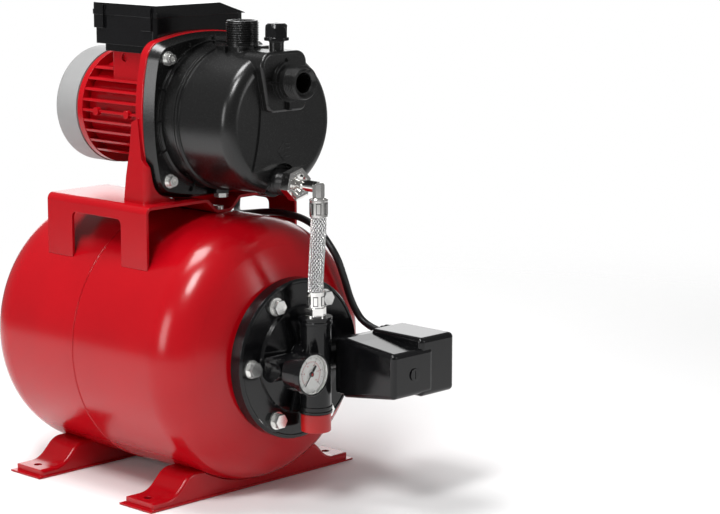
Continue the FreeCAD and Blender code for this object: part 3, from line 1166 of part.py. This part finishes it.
def write_parts():
    os.makedirs("parts", exist_ok=True)
    for old in os.listdir("parts"):
        os.remove(os.path.join("parts", old))
    for thing in doc.Objects:
        if "Invalid" in thing.State or "Error" in thing.State:
            raise ValueError("%s did not compute" % thing.Name)
    for thing in NODES:
        if thing.Shape.isNull() or not thing.Shape.isValid():
            raise ValueError("%s has no valid shape" % thing.Label)
        print("%-20s solids %d volume %.0f" % (thing.Label, len(thing.Shape.Solids), thing.Shape.Volume))
        thing.Shape.exportStep("parts/%s.step" % thing.Label)


fill_sheet()
make_tank()
make_air_valve()
make_foot("rear_foot", -1)
make_foot("front_foot", 1)
make_bracket()
make_bracket_screws()
make_manifold()
make_flange_bolts()
make_outlet_cap()
make_gauge()
make_hose()
make_elbow()
make_union_nut()
make_housing()
make_rear_shield()
make_pedestal()
make_rotor()
make_bearings()
make_cooling_fan()
make_stator()
make_fan_cover()
make_seals()
make_impeller()
make_ejector()
make_casing()
make_casing_bolts()
make_plugs()
make_terminal_box()
make_box_lid()
make_box_contents()
make_switch_base()
make_switch_cover()
make_switch_works()
make_switch_glands()
make_cable()
doc.recompute()
centre_frame()
write_parts()
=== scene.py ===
"""Final look of the water works: a jet pump on a red pressure tank, in the frame of its CAD model."""
import json
import math

import bpy
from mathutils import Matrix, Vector


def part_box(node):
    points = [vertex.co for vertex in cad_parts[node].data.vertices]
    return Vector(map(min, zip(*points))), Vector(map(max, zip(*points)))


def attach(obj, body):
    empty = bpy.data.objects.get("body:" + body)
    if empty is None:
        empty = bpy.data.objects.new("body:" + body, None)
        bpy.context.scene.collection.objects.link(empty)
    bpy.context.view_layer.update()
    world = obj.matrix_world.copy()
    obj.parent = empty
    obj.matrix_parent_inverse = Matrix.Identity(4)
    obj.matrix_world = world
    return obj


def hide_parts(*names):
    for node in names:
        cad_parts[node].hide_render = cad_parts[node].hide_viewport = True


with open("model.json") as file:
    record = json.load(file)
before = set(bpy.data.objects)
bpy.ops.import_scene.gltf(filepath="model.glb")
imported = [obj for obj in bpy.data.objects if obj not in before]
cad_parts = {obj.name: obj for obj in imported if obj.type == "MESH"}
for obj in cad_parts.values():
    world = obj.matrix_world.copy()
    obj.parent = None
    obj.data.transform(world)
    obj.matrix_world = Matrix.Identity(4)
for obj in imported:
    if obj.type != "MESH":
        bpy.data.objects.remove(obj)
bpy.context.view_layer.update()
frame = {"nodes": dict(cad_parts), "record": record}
nodes = frame["nodes"]
MM = 0.001

# places in the drawing, in mm
SHIFT = 43.325  # how far the nodes were moved back along X from the drawing
MOTOR_Z = 376  # the axis of the motor and the pump
OUTLET_Z = 317.5  # the pump's outlet, which the elbow leads out of
HOSE_X = 200.0  # the hose's foot
HOSE_LEAN = 4.6  # how much further along X its top stands
HOSE_TOP_X = HOSE_X + HOSE_LEAN
ALONG_X = (1, 0, 0)


def at(x, y, z):
    """A point of the drawing, in millimetres, as a point of the frame."""
    return Vector(((x - SHIFT) * MM, y * MM, z * MM))


# ---- camera, floor and light ---------------------------------------------------------------------

def aim(obj, target):
    """Turn a camera or a light towards a point."""
    direction = Vector(target) - obj.location
    obj.rotation_euler = direction.to_track_quat("-Z", "Y").to_euler()


def make_camera():
    """A long lens that looks at the gauge's end of the tank from a little above."""
    data = bpy.data.cameras.new("camera")
    data.sensor_width = 36.0
    data.lens = 112.02
    data.clip_end = 30
    camera = bpy.data.objects.new("camera", data)
    bpy.context.scene.collection.objects.link(camera)
    camera.location = at(1734.9, -1513.2, 633.3)
    aim(camera, at(260.8, 0, 255.86))
    bpy.context.scene.camera = camera


def area_light(name, place, target, size, power):
    data = bpy.data.lights.new(name, "AREA")
    data.shape = "RECTANGLE"
    data.size, data.size_y = size
    data.energy = power
    lamp = bpy.data.objects.new(name, data)
    bpy.context.scene.collection.objects.link(lamp)
    lamp.location = place
    lamp.visible_camera = False
    aim(lamp, target)


def floor_material():
    """White near the object and clear further out, so that the floor runs into the white of the studio."""
    material = bpy.data.materials.new("floor_white")
    material.use_nodes = True
    tree = material.node_tree
    shader = tree.nodes["Principled BSDF"]
    shader.inputs["Base Color"].default_value = (0.9, 0.9, 0.9, 1)
    shader.inputs["Roughness"].default_value = 0.9
    shader.inputs["Specular IOR Level"].default_value = 0.1
    coords = tree.nodes.new("ShaderNodeTexCoord")
    away = tree.nodes.new("ShaderNodeVectorMath")
    away.operation = "LENGTH"
    middle = tree.nodes.new("ShaderNodeVectorMath")
    middle.operation = "SUBTRACT"
    middle.inputs[1].default_value = (0.35, -0.35, 0)
    tree.links.new(coords.outputs["Object"], middle.inputs[0])
    tree.links.new(middle.outputs["Vector"], away.inputs[0])
    fade = tree.nodes.new("ShaderNodeMapRange")
    fade.interpolation_type = "SMOOTHERSTEP"
    for name, value in (("From Min", 1.0), ("From Max", 2.1), ("To Min", 1.0), ("To Max", 0.0)):
        fade.inputs[name].default_value = value
    tree.links.new(away.outputs["Value"], fade.inputs["Value"])
    tree.links.new(fade.outputs["Result"], shader.inputs["Alpha"])
    return material


def make_stage():
    half = 3
    corners = [(-half, -half, 0), (half, -half, 0), (half, half, 0), (-half, half, 0)]
    mesh = bpy.data.meshes.new("floor")
    mesh.from_pydata(corners, [], [(0, 1, 2, 3)])
    floor = bpy.data.objects.new("floor", mesh)
    bpy.context.scene.collection.objects.link(floor)
    floor.location.z = -0.5 * MM
    mesh.materials.append(floor_material())
    make_world()
    area_light("key", (0.7, -1.5, 2.5), (0, 0, 0.3), (0.6, 0.9), 46)
    area_light("front", (-0.3, -2.7, 0.9), (0, 0, 0.2), (0.8, 1.2), 19)
    area_light("side", (2.2, 1.2, 0.9), (0.1, 0, 0.25), (0.6, 1.2), 9)
    area_light("top", (-0.5, -0.3, 2.1), (0, 0, 0.3), (0.9, 0.7), 31)
    area_light("back", (-1.7, 1.7, 0.7), (0, 0, 0.35), (2.2, 1.3), 17)
    bpy.context.scene.view_settings.view_transform = "Standard"


def make_world():
    """White to the eye, and a dimmer grey in the light and the reflections that it gives."""
    world = bpy.data.worlds.new("studio")
    world.use_nodes = True
    tree = world.node_tree
    seen = tree.nodes["Background"]
    seen.inputs["Color"].default_value = (1, 1, 1, 1)
    seen.inputs["Strength"].default_value = 1.0
    lit = tree.nodes.new("ShaderNodeBackground")
    lit.inputs["Color"].default_value = (1, 1, 1, 1)
    lit.inputs["Strength"].default_value = 0.22
    rays = tree.nodes.new("ShaderNodeLightPath")
    choose = tree.nodes.new("ShaderNodeMixShader")
    tree.links.new(rays.outputs["Is Camera Ray"], choose.inputs["Fac"])
    tree.links.new(lit.outputs["Background"], choose.inputs[1])
    tree.links.new(seen.outputs["Background"], choose.inputs[2])
    tree.links.new(choose.outputs["Shader"], tree.nodes["World Output"].inputs["Surface"])
    bpy.context.scene.world = world


# ---- materials -----------------------------------------------------------------------------------

class Recipe:
    """A procedural material with a few helpers to wire its nodes."""

    def __init__(self, name):
        self.material = bpy.data.materials.new(name)
        self.material.use_nodes = True
        self.tree = self.material.node_tree
        self.shader = self.tree.nodes["Principled BSDF"]
        self.coords = self.add("ShaderNodeTexCoord")

    def add(self, kind, **values):
        item = self.tree.nodes.new(kind)
        for key, value in values.items():
            setattr(item, key, value)
        return item

    def link(self, source, target):
        self.tree.links.new(source, target)

    def set(self, **values):
        for key, value in values.items():
            self.shader.inputs[key.replace("_", " ")].default_value = value

    def noise(self, scale, detail=4.0, rough=0.5):
        item = self.add("ShaderNodeTexNoise")
        item.inputs["Scale"].default_value = scale
        item.inputs["Detail"].default_value = detail
        item.inputs["Roughness"].default_value = rough
        self.link(self.coords.outputs["Object"], item.inputs["Vector"])
        return item.outputs["Fac"]

    def ramp(self, source, stops):
        """A blend of two colours, each given with its place along the factor."""
        item = self.add("ShaderNodeValToRGB")
        for element, (place, color) in zip(item.color_ramp.elements, stops):
            element.position = place
            element.color = (*color, 1)
        self.link(source, item.inputs["Fac"])
        return item.outputs["Color"]

    def span(self, source, low, high):
        """A factor from 0 to 1, stretched to run from low to high."""
        item = self.add("ShaderNodeMapRange")
        item.inputs["To Min"].default_value = low
        item.inputs["To Max"].default_value = high
        self.link(source, item.inputs["Value"])
        return item.outputs["Result"]

    def color(self, source):
        self.link(source, self.shader.inputs["Base Color"])

    def roughness(self, source):
        self.link(source, self.shader.inputs["Roughness"])

    def bump(self, source, strength, edge):
        """A grain up to half a millimetre deep, over corners that look rounded by the edge radius."""
        item = self.add("ShaderNodeBump")
        if edge:
            bevel = self.add("ShaderNodeBevel", samples=4)
            bevel.inputs["Radius"].default_value = edge
            self.link(bevel.outputs["Normal"], item.inputs["Normal"])
        item.inputs["Strength"].default_value = strength
        item.inputs["Distance"].default_value = 0.5 * MM
        self.link(source, item.inputs["Height"])
        self.link(item.outputs["Normal"], self.shader.inputs["Normal"])


def simple(name, color, rough, spread, metallic=0.0, grain=90.0, bump=0.0, shade=0.12, edge=0.0, ior=1.5):
    """A finish with slight variation of colour and gloss, a fine grain and, given an edge, soft corners."""
    recipe = Recipe(name)
    recipe.set(Metallic=metallic, IOR=ior)
    tone = recipe.noise(14.0, 3.0)
    dark = tuple(c * (1 - shade) for c in color)
    light = tuple(min(1, c * (1 + shade)) for c in color)
    recipe.color(recipe.ramp(tone, [(0.3, dark), (0.7, light)]))
    fine = recipe.noise(grain, 5.0, 0.6)
    recipe.roughness(recipe.span(fine, max(0.02, rough - spread), rough + spread))
    recipe.bump(fine, bump, edge)
    return recipe.material


LOOKS = {
    "red_paint": simple("red_paint", (0.40, 0.0015, 0.006), 0.2, 0.04, grain=420, bump=0.02, shade=0.05,
                        edge=0.0008, ior=1.42),
    "black_plastic": simple("black_plastic", (0.004, 0.004, 0.0045), 0.15, 0.04, grain=600, bump=0.02,
                            edge=0.0007, ior=1.42),
    "casing_black": simple("casing_black", (0.005, 0.005, 0.005), 0.26, 0.05, grain=900, bump=0.07,
                           edge=0.0006),
    "grey_plastic": simple("grey_plastic", (0.3, 0.3, 0.3), 0.42, 0.05, grain=700, bump=0.05, shade=0.05),
    "zinc_steel": simple("zinc_steel", (0.84, 0.84, 0.82), 0.22, 0.06, 0.85, grain=300, bump=0.04,
                         edge=0.0003),
    "nickel": simple("nickel", (0.82, 0.81, 0.79), 0.09, 0.03, 1.0, grain=200, bump=0.003, edge=0.0003),
    "braid": simple("braid", (0.9, 0.9, 0.89), 0.22, 0.08, 1.0, grain=900, bump=0.05),
    "braid_core": simple("braid_core", (0.015, 0.015, 0.015), 0.7, 0.08, grain=900, bump=0.1),
    "red_plastic": simple("red_plastic", (0.5, 0.006, 0.006), 0.36, 0.05, grain=500, bump=0.03),
    "rubber": simple("rubber", (0.02, 0.02, 0.02), 0.6, 0.08, grain=500, bump=0.05),
    "brass": simple("brass", (0.62, 0.5, 0.28), 0.25, 0.06, 1.0, grain=300, bump=0.03),
    "dial": simple("dial", (0.75, 0.75, 0.73), 0.45, 0.05, grain=500, shade=0.03),
    "needle": simple("needle", (0.01, 0.01, 0.01), 0.4, 0.05, grain=500),
    "cable": simple("cable", (0.012, 0.012, 0.013), 0.36, 0.06, grain=600, bump=0.05),
    "copper": simple("copper", (0.5, 0.2, 0.09), 0.35, 0.08, 1.0, grain=600, bump=0.1),
    "lamination": simple("lamination", (0.25, 0.25, 0.27), 0.45, 0.08, 1.0, grain=300, bump=0.05),
    "spring_steel": simple("spring_steel", (0.6, 0.6, 0.6), 0.25, 0.06, 1.0, grain=300, bump=0.03),
    "ceramic": simple("ceramic", (0.7, 0.68, 0.62), 0.3, 0.05, grain=300),
    "noryl": simple("noryl", (0.06, 0.06, 0.065), 0.4, 0.06, grain=500, bump=0.03),
    "white_plastic": simple("white_plastic", (0.72, 0.72, 0.69), 0.4, 0.05, grain=500, bump=0.02),
}


def glass(name):
    """A clear, thin-looking pane."""
    recipe = Recipe(name)
    recipe.set(Transmission_Weight=1.0, IOR=1.1, Base_Color=(1, 1, 1, 1))
    recipe.roughness(recipe.span(recipe.noise(60.0), 0.0, 0.03))
    return recipe.material


LOOKS["lens"] = glass("lens")


def dress_nodes():
    """Give each node of the frame the finish that its record names."""
    for part in frame["record"]["subparts"]:
        materials = nodes[part["node"]].data.materials
        materials.clear()
        materials.append(LOOKS[part["material_slot"]])


# ---- building pieces -----------------------------------------------------------------------------

def add_piece(name, data, slot, body="unit", look=None):
    """Put a mesh or curve in the scene with its finish, riding on a body."""
    obj = bpy.data.objects.new(name, data)
    bpy.context.scene.collection.objects.link(obj)
    data.materials.append(look or LOOKS[slot])
    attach(obj, body)
    return obj


def smooth(mesh):
    """The same mesh, shaded as one curved skin."""
    for polygon in mesh.polygons:
        polygon.use_smooth = True
    return mesh


def join_solids(name, solids):
    """One mesh from several lists of vertices and faces."""
    verts, faces = [], []
    for points, loops in solids:
        base = len(verts)
        verts.extend(points)
        faces.extend([tuple(base + index for index in loop) for loop in loops])
    mesh = bpy.data.meshes.new(name)
    mesh.from_pydata([tuple(v) for v in verts], [], faces)
    mesh.validate()
    return mesh


def slab(points, normal, thickness):
    """A flat plate of the outline given, standing on it along the normal."""
    count = len(points)
    rise = Vector(normal).normalized() * thickness
    low = [Vector(p) for p in points]
    high = [p + rise for p in low]
    loops = [tuple(range(count - 1, -1, -1)), tuple(range(count, 2 * count))]
    loops += [(i, (i + 1) % count, count + (i + 1) % count, count + i) for i in range(count)]
    return low + high, loops


def stroke(start, end, width, normal, thickness):
    """A thin straight plate from start to end."""
    start, end, normal = Vector(start), Vector(end), Vector(normal)
    side = (end - start).cross(normal).normalized() * width / 2
    return slab([start - side, end - side, end + side, start + side], normal, thickness)


def turned_ring(profile, centre, sides=96):
    """A ring about the X axis through centre; the profile is closed, as (x, r) pairs in mm."""
    points, loops = [], []
    count = len(profile)
    for step in range(sides):
        angle = 2 * math.pi * step / sides
        for x, r in profile:
            points.append(centre + Vector((x, r * math.cos(angle), r * math.sin(angle))) * MM)
    for step in range(sides):
        here, after = step * count, ((step + 1) % sides) * count
        for k in range(count):
            following = (k + 1) % count
            loops.append((here + k, here + following, after + following, after + k))
    return points, loops


def revolve(profile, base, axis, sides=48, spin=0.0):
    """A solid turned round an axis through base; the profile is open, as (along, r) pairs in mm."""
    axis = Vector(axis).normalized()
    side = axis.orthogonal().normalized()
    other = axis.cross(side)
    points, loops = [], []
    count = len(profile)
    for step in range(sides):
        angle = 2 * math.pi * step / sides + math.radians(spin)
        out = side * math.cos(angle) + other * math.sin(angle)
        points.extend(base + (axis * along + out * r) * MM for along, r in profile)
    for step in range(sides):
        here, after = step * count, ((step + 1) % sides) * count
        loops.extend((here + k, here + k + 1, after + k + 1, after + k) for k in range(count - 1))
    return points, loops


def shaded(mesh, degrees=32):
    """Smooth faces with crisp edges where they meet at more than the angle."""
    smooth(mesh)
    mesh.set_sharp_from_angle(angle=math.radians(degrees))
    return mesh


# ---- the lead and the braided hose ---------------------------------------------------------------

# the lead from the pressure switch to the terminal box, in mm of the drawing
CABLE_ROUTE = [(200, 100, 157), (172, 99, 160), (157, 94, 183), (156, 84, 212), (151, 77, 237),
               (114, 80, 266), (57, 82, 269), (10, 84, 261), (-21, 98, 256), (-37, 116, 278),
               (-39, 121, 308), (-34, 122, 362), (-16, 117, 444), (-12, 70.5, 456.5)]


def make_cable():
    curve = bpy.data.curves.new("motor_lead", "CURVE")
    curve.dimensions = "3D"
    curve.bevel_depth = 0.0037
    curve.bevel_resolution = 6
    curve.use_fill_caps = True
    spline = curve.splines.new("NURBS")
    spline.points.add(len(CABLE_ROUTE) - 1)
    for point, spot in zip(spline.points, CABLE_ROUTE):
        point.co = (*at(*spot), 1)
    spline.order_u = 3
    spline.use_endpoint_u = True
    spline.resolution_u = 14
    lead = add_piece("motor_lead", curve, "cable")
    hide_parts("motor_cable")


def hose_centre(z):
    """The middle of the hose at a height, and the way it runs there."""
    low, high = 212.0, 291.0
    share = min(1.0, max(0.0, (z - low) / (high - low)))
    x = HOSE_X + HOSE_LEAN * share * share * (3 - 2 * share)
    slope = HOSE_LEAN * 6 * share * (1 - share) / (high - low)
    return Vector((x, 0, z)), Vector((slope, 0, 1)).normalized()


def hose_point(z, angle, radius):
    """A point round the middle of the hose, square to the way it runs."""
    centre, way = hose_centre(z)
    side = Vector((0, 1, 0))
    return at(*(centre + (side * math.cos(angle) + side.cross(way) * math.sin(angle)) * radius))


PLAITS = 15  # in each direction round the hose


def braid_wire(hand, plait, offset):
    """One wire of a plait: it winds round the hose, over one crossing plait and under the next."""
    low, high = 200.9, 304.5
    radius, weave = 7.3, 0.3
    turns, steps = 1.6, 130
    path = []
    for step in range(steps + 1):
        share = step / steps
        wound = hand * 2 * math.pi * turns * share
        angle = 2 * math.pi * (plait + offset) / PLAITS + wound
        crossing = (angle + wound) * PLAITS / (2 * math.pi)
        lift = weave * hand * math.cos(math.pi * (crossing + plait))
        path.append(hose_point(low + (high - low) * share, angle, radius + lift))
    return path


def make_braid():
    """Two wires to a plait, wound left and right."""
    curve = bpy.data.curves.new("hose_wires", "CURVE")
    curve.dimensions = "3D"
    curve.bevel_depth = 0.25 * MM
    curve.bevel_resolution = 1
    for hand in (-1, 1):
        for plait in range(PLAITS):
            for offset in (-0.11, 0.11):
                path = braid_wire(hand, plait, offset)
                spline = curve.splines.new("POLY")
                spline.points.add(len(path) - 1)
                for point, spot in zip(spline.points, path):
                    point.co = (*spot, 1)
    wires = add_piece("hose_wires", curve, "braid")
    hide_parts("hose_braid")


def make_core():
    """The dark tube under the wires."""
    sides, rows = 32, 60
    low, high, radius = 200.85, 304.55, 6.95
    spots, loops = [], []
    for row in range(rows + 1):
        z = low + (high - low) * row / rows
        spots.extend(hose_point(z, 2 * math.pi * step / sides, radius) for step in range(sides))
    for row in range(rows):
        for step in range(sides):
            here, after = row * sides + step, row * sides + (step + 1) % sides
            loops.append((here, after, after + sides, here + sides))
    mesh = smooth(join_solids("hose_core", [(spots, loops)]))
    tube = add_piece("hose_core", mesh, "braid", look=LOOKS["braid_core"])
    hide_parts("hose_braid")


# ---- gauge ---------------------------------------------------------------------------------------

DIAL_START = -135  # where the scale begins; 0 degrees is up, and the angle grows clockwise for a reader
DIAL_STEP = 5.4  # degrees from one mark to the next
DIAL_MARKS = 51


def dial_point(centre, degrees, radius):
    """A point of the dial, with the radius in mm."""
    angle = math.radians(degrees)
    return centre + Vector((0, math.sin(angle), math.cos(angle))) * radius * MM


def dial_line(centre, start, end, width):
    """A printed line between two points of the dial, each given as (degrees, radius)."""
    return stroke(dial_point(centre, *start), dial_point(centre, *end), width * MM, ALONG_X, 0.08 * MM)


def dial_number(text, centre, size):
    """A printed number, turned to face along X."""
    curve = bpy.data.curves.new("number", "FONT")
    curve.body = text
    curve.size = size * MM
    curve.align_x, curve.align_y = "CENTER", "CENTER"
    curve.extrude = 0.03 * MM
    holder = bpy.data.objects.new("number", curve)
    bpy.context.scene.collection.objects.link(holder)
    mesh = bpy.data.meshes.new_from_object(holder)
    bpy.data.objects.remove(holder)
    spots = [centre + Vector((v.co.z, v.co.x, v.co.y)) for v in mesh.vertices]
    loops = [tuple(p.vertices) for p in mesh.polygons]
    return spots, loops


def make_dial():
    """An outer black scale and an inner red one, the white wall round them and the needle's hub."""
    low, high = [Vector(corner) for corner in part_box("gauge_dial")]
    centre = (low + high) / 2
    centre.x = high.x + 0.02 * MM
    black, red = [], []
    angles = [DIAL_START + DIAL_STEP * mark for mark in range(DIAL_MARKS)]
    for mark, degrees in enumerate(angles):
        inner, width = (14.6, 0.35) if mark % 5 == 0 else (15.7, 0.18)
        black.append(dial_line(centre, (degrees, inner), (degrees, 16.8), width))
        if mark % 2 == 0:
            red.append(dial_line(centre, (degrees, 10.9), (degrees, 12.1), 0.28))
    for value in range(0, 11, 2):
        degrees = DIAL_START + 27 * value
        black.append(dial_number(str(value), dial_point(centre, degrees, 13.0), 2.6))
        red.append(dial_number(str(value * 14), dial_point(centre, degrees, 9.2), 1.9))
    for here, after in zip(angles, angles[1:]):
        red.append(dial_line(centre, (here, 12.35), (after, 12.35), 0.2))
    add_piece("dial_black_marks", join_solids("dial_black_marks", black), "needle")
    add_piece("dial_red_marks", join_solids("dial_red_marks", red), "red_plastic")
    wall = turned_ring([(0.1, 18.2), (3.6, 18.9), (3.6, 19.3), (0.1, 19.3)], centre)
    add_piece("dial_rim", smooth(join_solids("dial_rim", [wall])), "dial")
    hub = turned_ring([(1.9, 0.0), (2.25, 0.0), (2.25, 1.1), (1.9, 1.3)], centre, 32)
    add_piece("needle_hub", join_solids("needle_hub", [hub]), "red_plastic", "needle")


# ---- marks moulded into the casing ---------------------------------------------------------------

def make_arrow():
    """A raised flow arrow on the flat band of the casing's front."""
    band = 155.15
    width = 0.9 * MM
    marks = []
    for start, end in (((1.4, 357.6), (-6.8, 348.6)), ((-6.8, 348.6), (1.0, 339.4))):
        marks.append(stroke(at(band, *start), at(band, *end), width, ALONG_X, 0.55 * MM))
    for z in (355.6, 351.6, 347.4, 343.4):  # the four bars behind the chevron
        marks.append(stroke(at(band, 2.2, z), at(band, 9.4, z), width, ALONG_X, 0.5 * MM))
    add_piece("flow_arrow", join_solids("flow_arrow", marks), "casing_black")


def make_casing_ribs():
    """The thin ridge round the drum's foot and the short ribs across it, crisper than in the frame."""
    centre = at(0, 0, MOTOR_Z)
    ridge = [(55.0, 75.2), (57.2, 75.2), (57.4, 75.5), (57.4, 76.3), (57.2, 76.6), (55.0, 76.6)]
    foot = centre + Vector((55.2 * MM, 0, 0))
    marks = [turned_ring(ridge, centre, 144)]
    for quarter in (0, 90, 180, 270):
        for lean in (-24, 0, 24):
            angle = math.radians(quarter + lean)
            out = Vector((0, math.cos(angle), math.sin(angle)))
            start, end = foot + out * 70.8 * MM, foot + out * 81.5 * MM
            marks.append(stroke(start, end, 1.5 * MM, ALONG_X, 2.6 * MM))
    add_piece("casing_ridge_marks", join_solids("casing_ridge_marks", marks), "casing_black")


def make_union():
    """The union nut, and the threaded boss that it screws on."""
    corner = 14.5 / math.cos(math.radians(30))  # the nut is 29 mm across its flats
    outline = [(0, 11.7), (0, 14.2), (1.0, corner), (11.2, corner), (12.2, 14.4), (12.2, 11.7), (0, 11.7)]
    hexagon = revolve(outline, at(166.4, 0, OUTLET_Z), ALONG_X, 6, 30)
    nut = add_piece("union_nut", join_solids("union_nut", [hexagon]), "nickel")
    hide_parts("hose_union_nut")
    pitch, crest, root = 2.2, 13.3, 12.4
    ridges = [(0, 0), (0, 12.9)]
    for turn in range(5):
        ridges += [(1.0 + pitch * turn, crest), (1.8 + pitch * turn, root), (2.2 + pitch * turn, root),
                   (3.0 + pitch * turn, crest)]
    boss = revolve(ridges + [(12.0, 0)], at(154.6, 0, OUTLET_Z), ALONG_X)
    add_piece("outlet_boss_thread", shaded(join_solids("outlet_boss_thread", [boss]), 60), "casing_black")


def make_elbow():
    """The elbow: a coned seat in the nut, a short pipe, a squared corner and the collar above the ferrule."""
    centre = at(172.0, 0, OUTLET_Z)
    upward = (0, 0, 1)
    cone = [(0, 0), (0, 11.5), (5.6, 11.5), (6.0, 11.1), (6.0, 10.2), (4.2, 8.4), (3.4, 6.3), (3.4, 0)]
    seat = revolve(cone, centre, ALONG_X)
    pipe = revolve([(0, 0), (0, 5.6), (32.6, 5.6), (32.6, 0)], centre, ALONG_X)
    block = [(0, 0), (0, 6.4), (13.4, 6.4), (15.2, 5.0), (15.2, 0)]
    corner = revolve(block, at(HOSE_TOP_X, 0, 307.2), upward, 8, 22.5)
    collar = revolve([(0, 5.6), (0, 7.4), (0.6, 7.9), (1.8, 7.9), (2.4, 7.4), (2.4, 5.6)],
                     at(HOSE_TOP_X, 0, 305.4), upward)
    mesh = shaded(join_solids("elbow_body", [seat, pipe, corner, collar]))
    elbow = add_piece("elbow_body", mesh, "nickel")
    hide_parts("hose_elbow")


def make_crimps():
    """Upright pads pressed into the two ferrules of the hose, each on a slightly wider dark strip that paints
    a fine shadow line round it.
    """
    pads, shadow_strips = [], []
    sunk, margin = 0.6, 0.7
    for x, radius, low, high in ((HOSE_TOP_X, 8.85, 291.4, 302.6), (HOSE_X, 8.4, 200.2, 209.8)):
        for step in range(6):
            angle = math.radians(60 * step - 45)
            out = Vector((math.cos(angle), math.sin(angle), 0))
            foot = Vector((x, 0, 0)) + out * (radius - sunk)
            # a wider, lower dark strip under each pad: painted shadow round the pad's edge
            start, end = at(foot.x, foot.y, low), at(foot.x, foot.y, high)
            shadow_strips.append(stroke(start, end, 5.2 * MM, out, 0.72 * MM))
            start, end = at(foot.x, foot.y, low + margin), at(foot.x, foot.y, high - margin)
            pads.append(stroke(start, end, 3.8 * MM, out, 0.86 * MM))
    add_piece("ferrule_pads", join_solids("ferrule_pads", pads), "nickel")
    # the dark rubber look on these strips is painted shadow, not a rubber part
    add_piece("ferrule_painted_shadow", join_solids("ferrule_painted_shadow", shadow_strips), "rubber")


make_camera()
make_stage()
dress_nodes()
make_cable()
make_braid()
make_core()
make_dial()
make_arrow()
make_casing_ribs()
make_union()
make_elbow()
make_crimps()
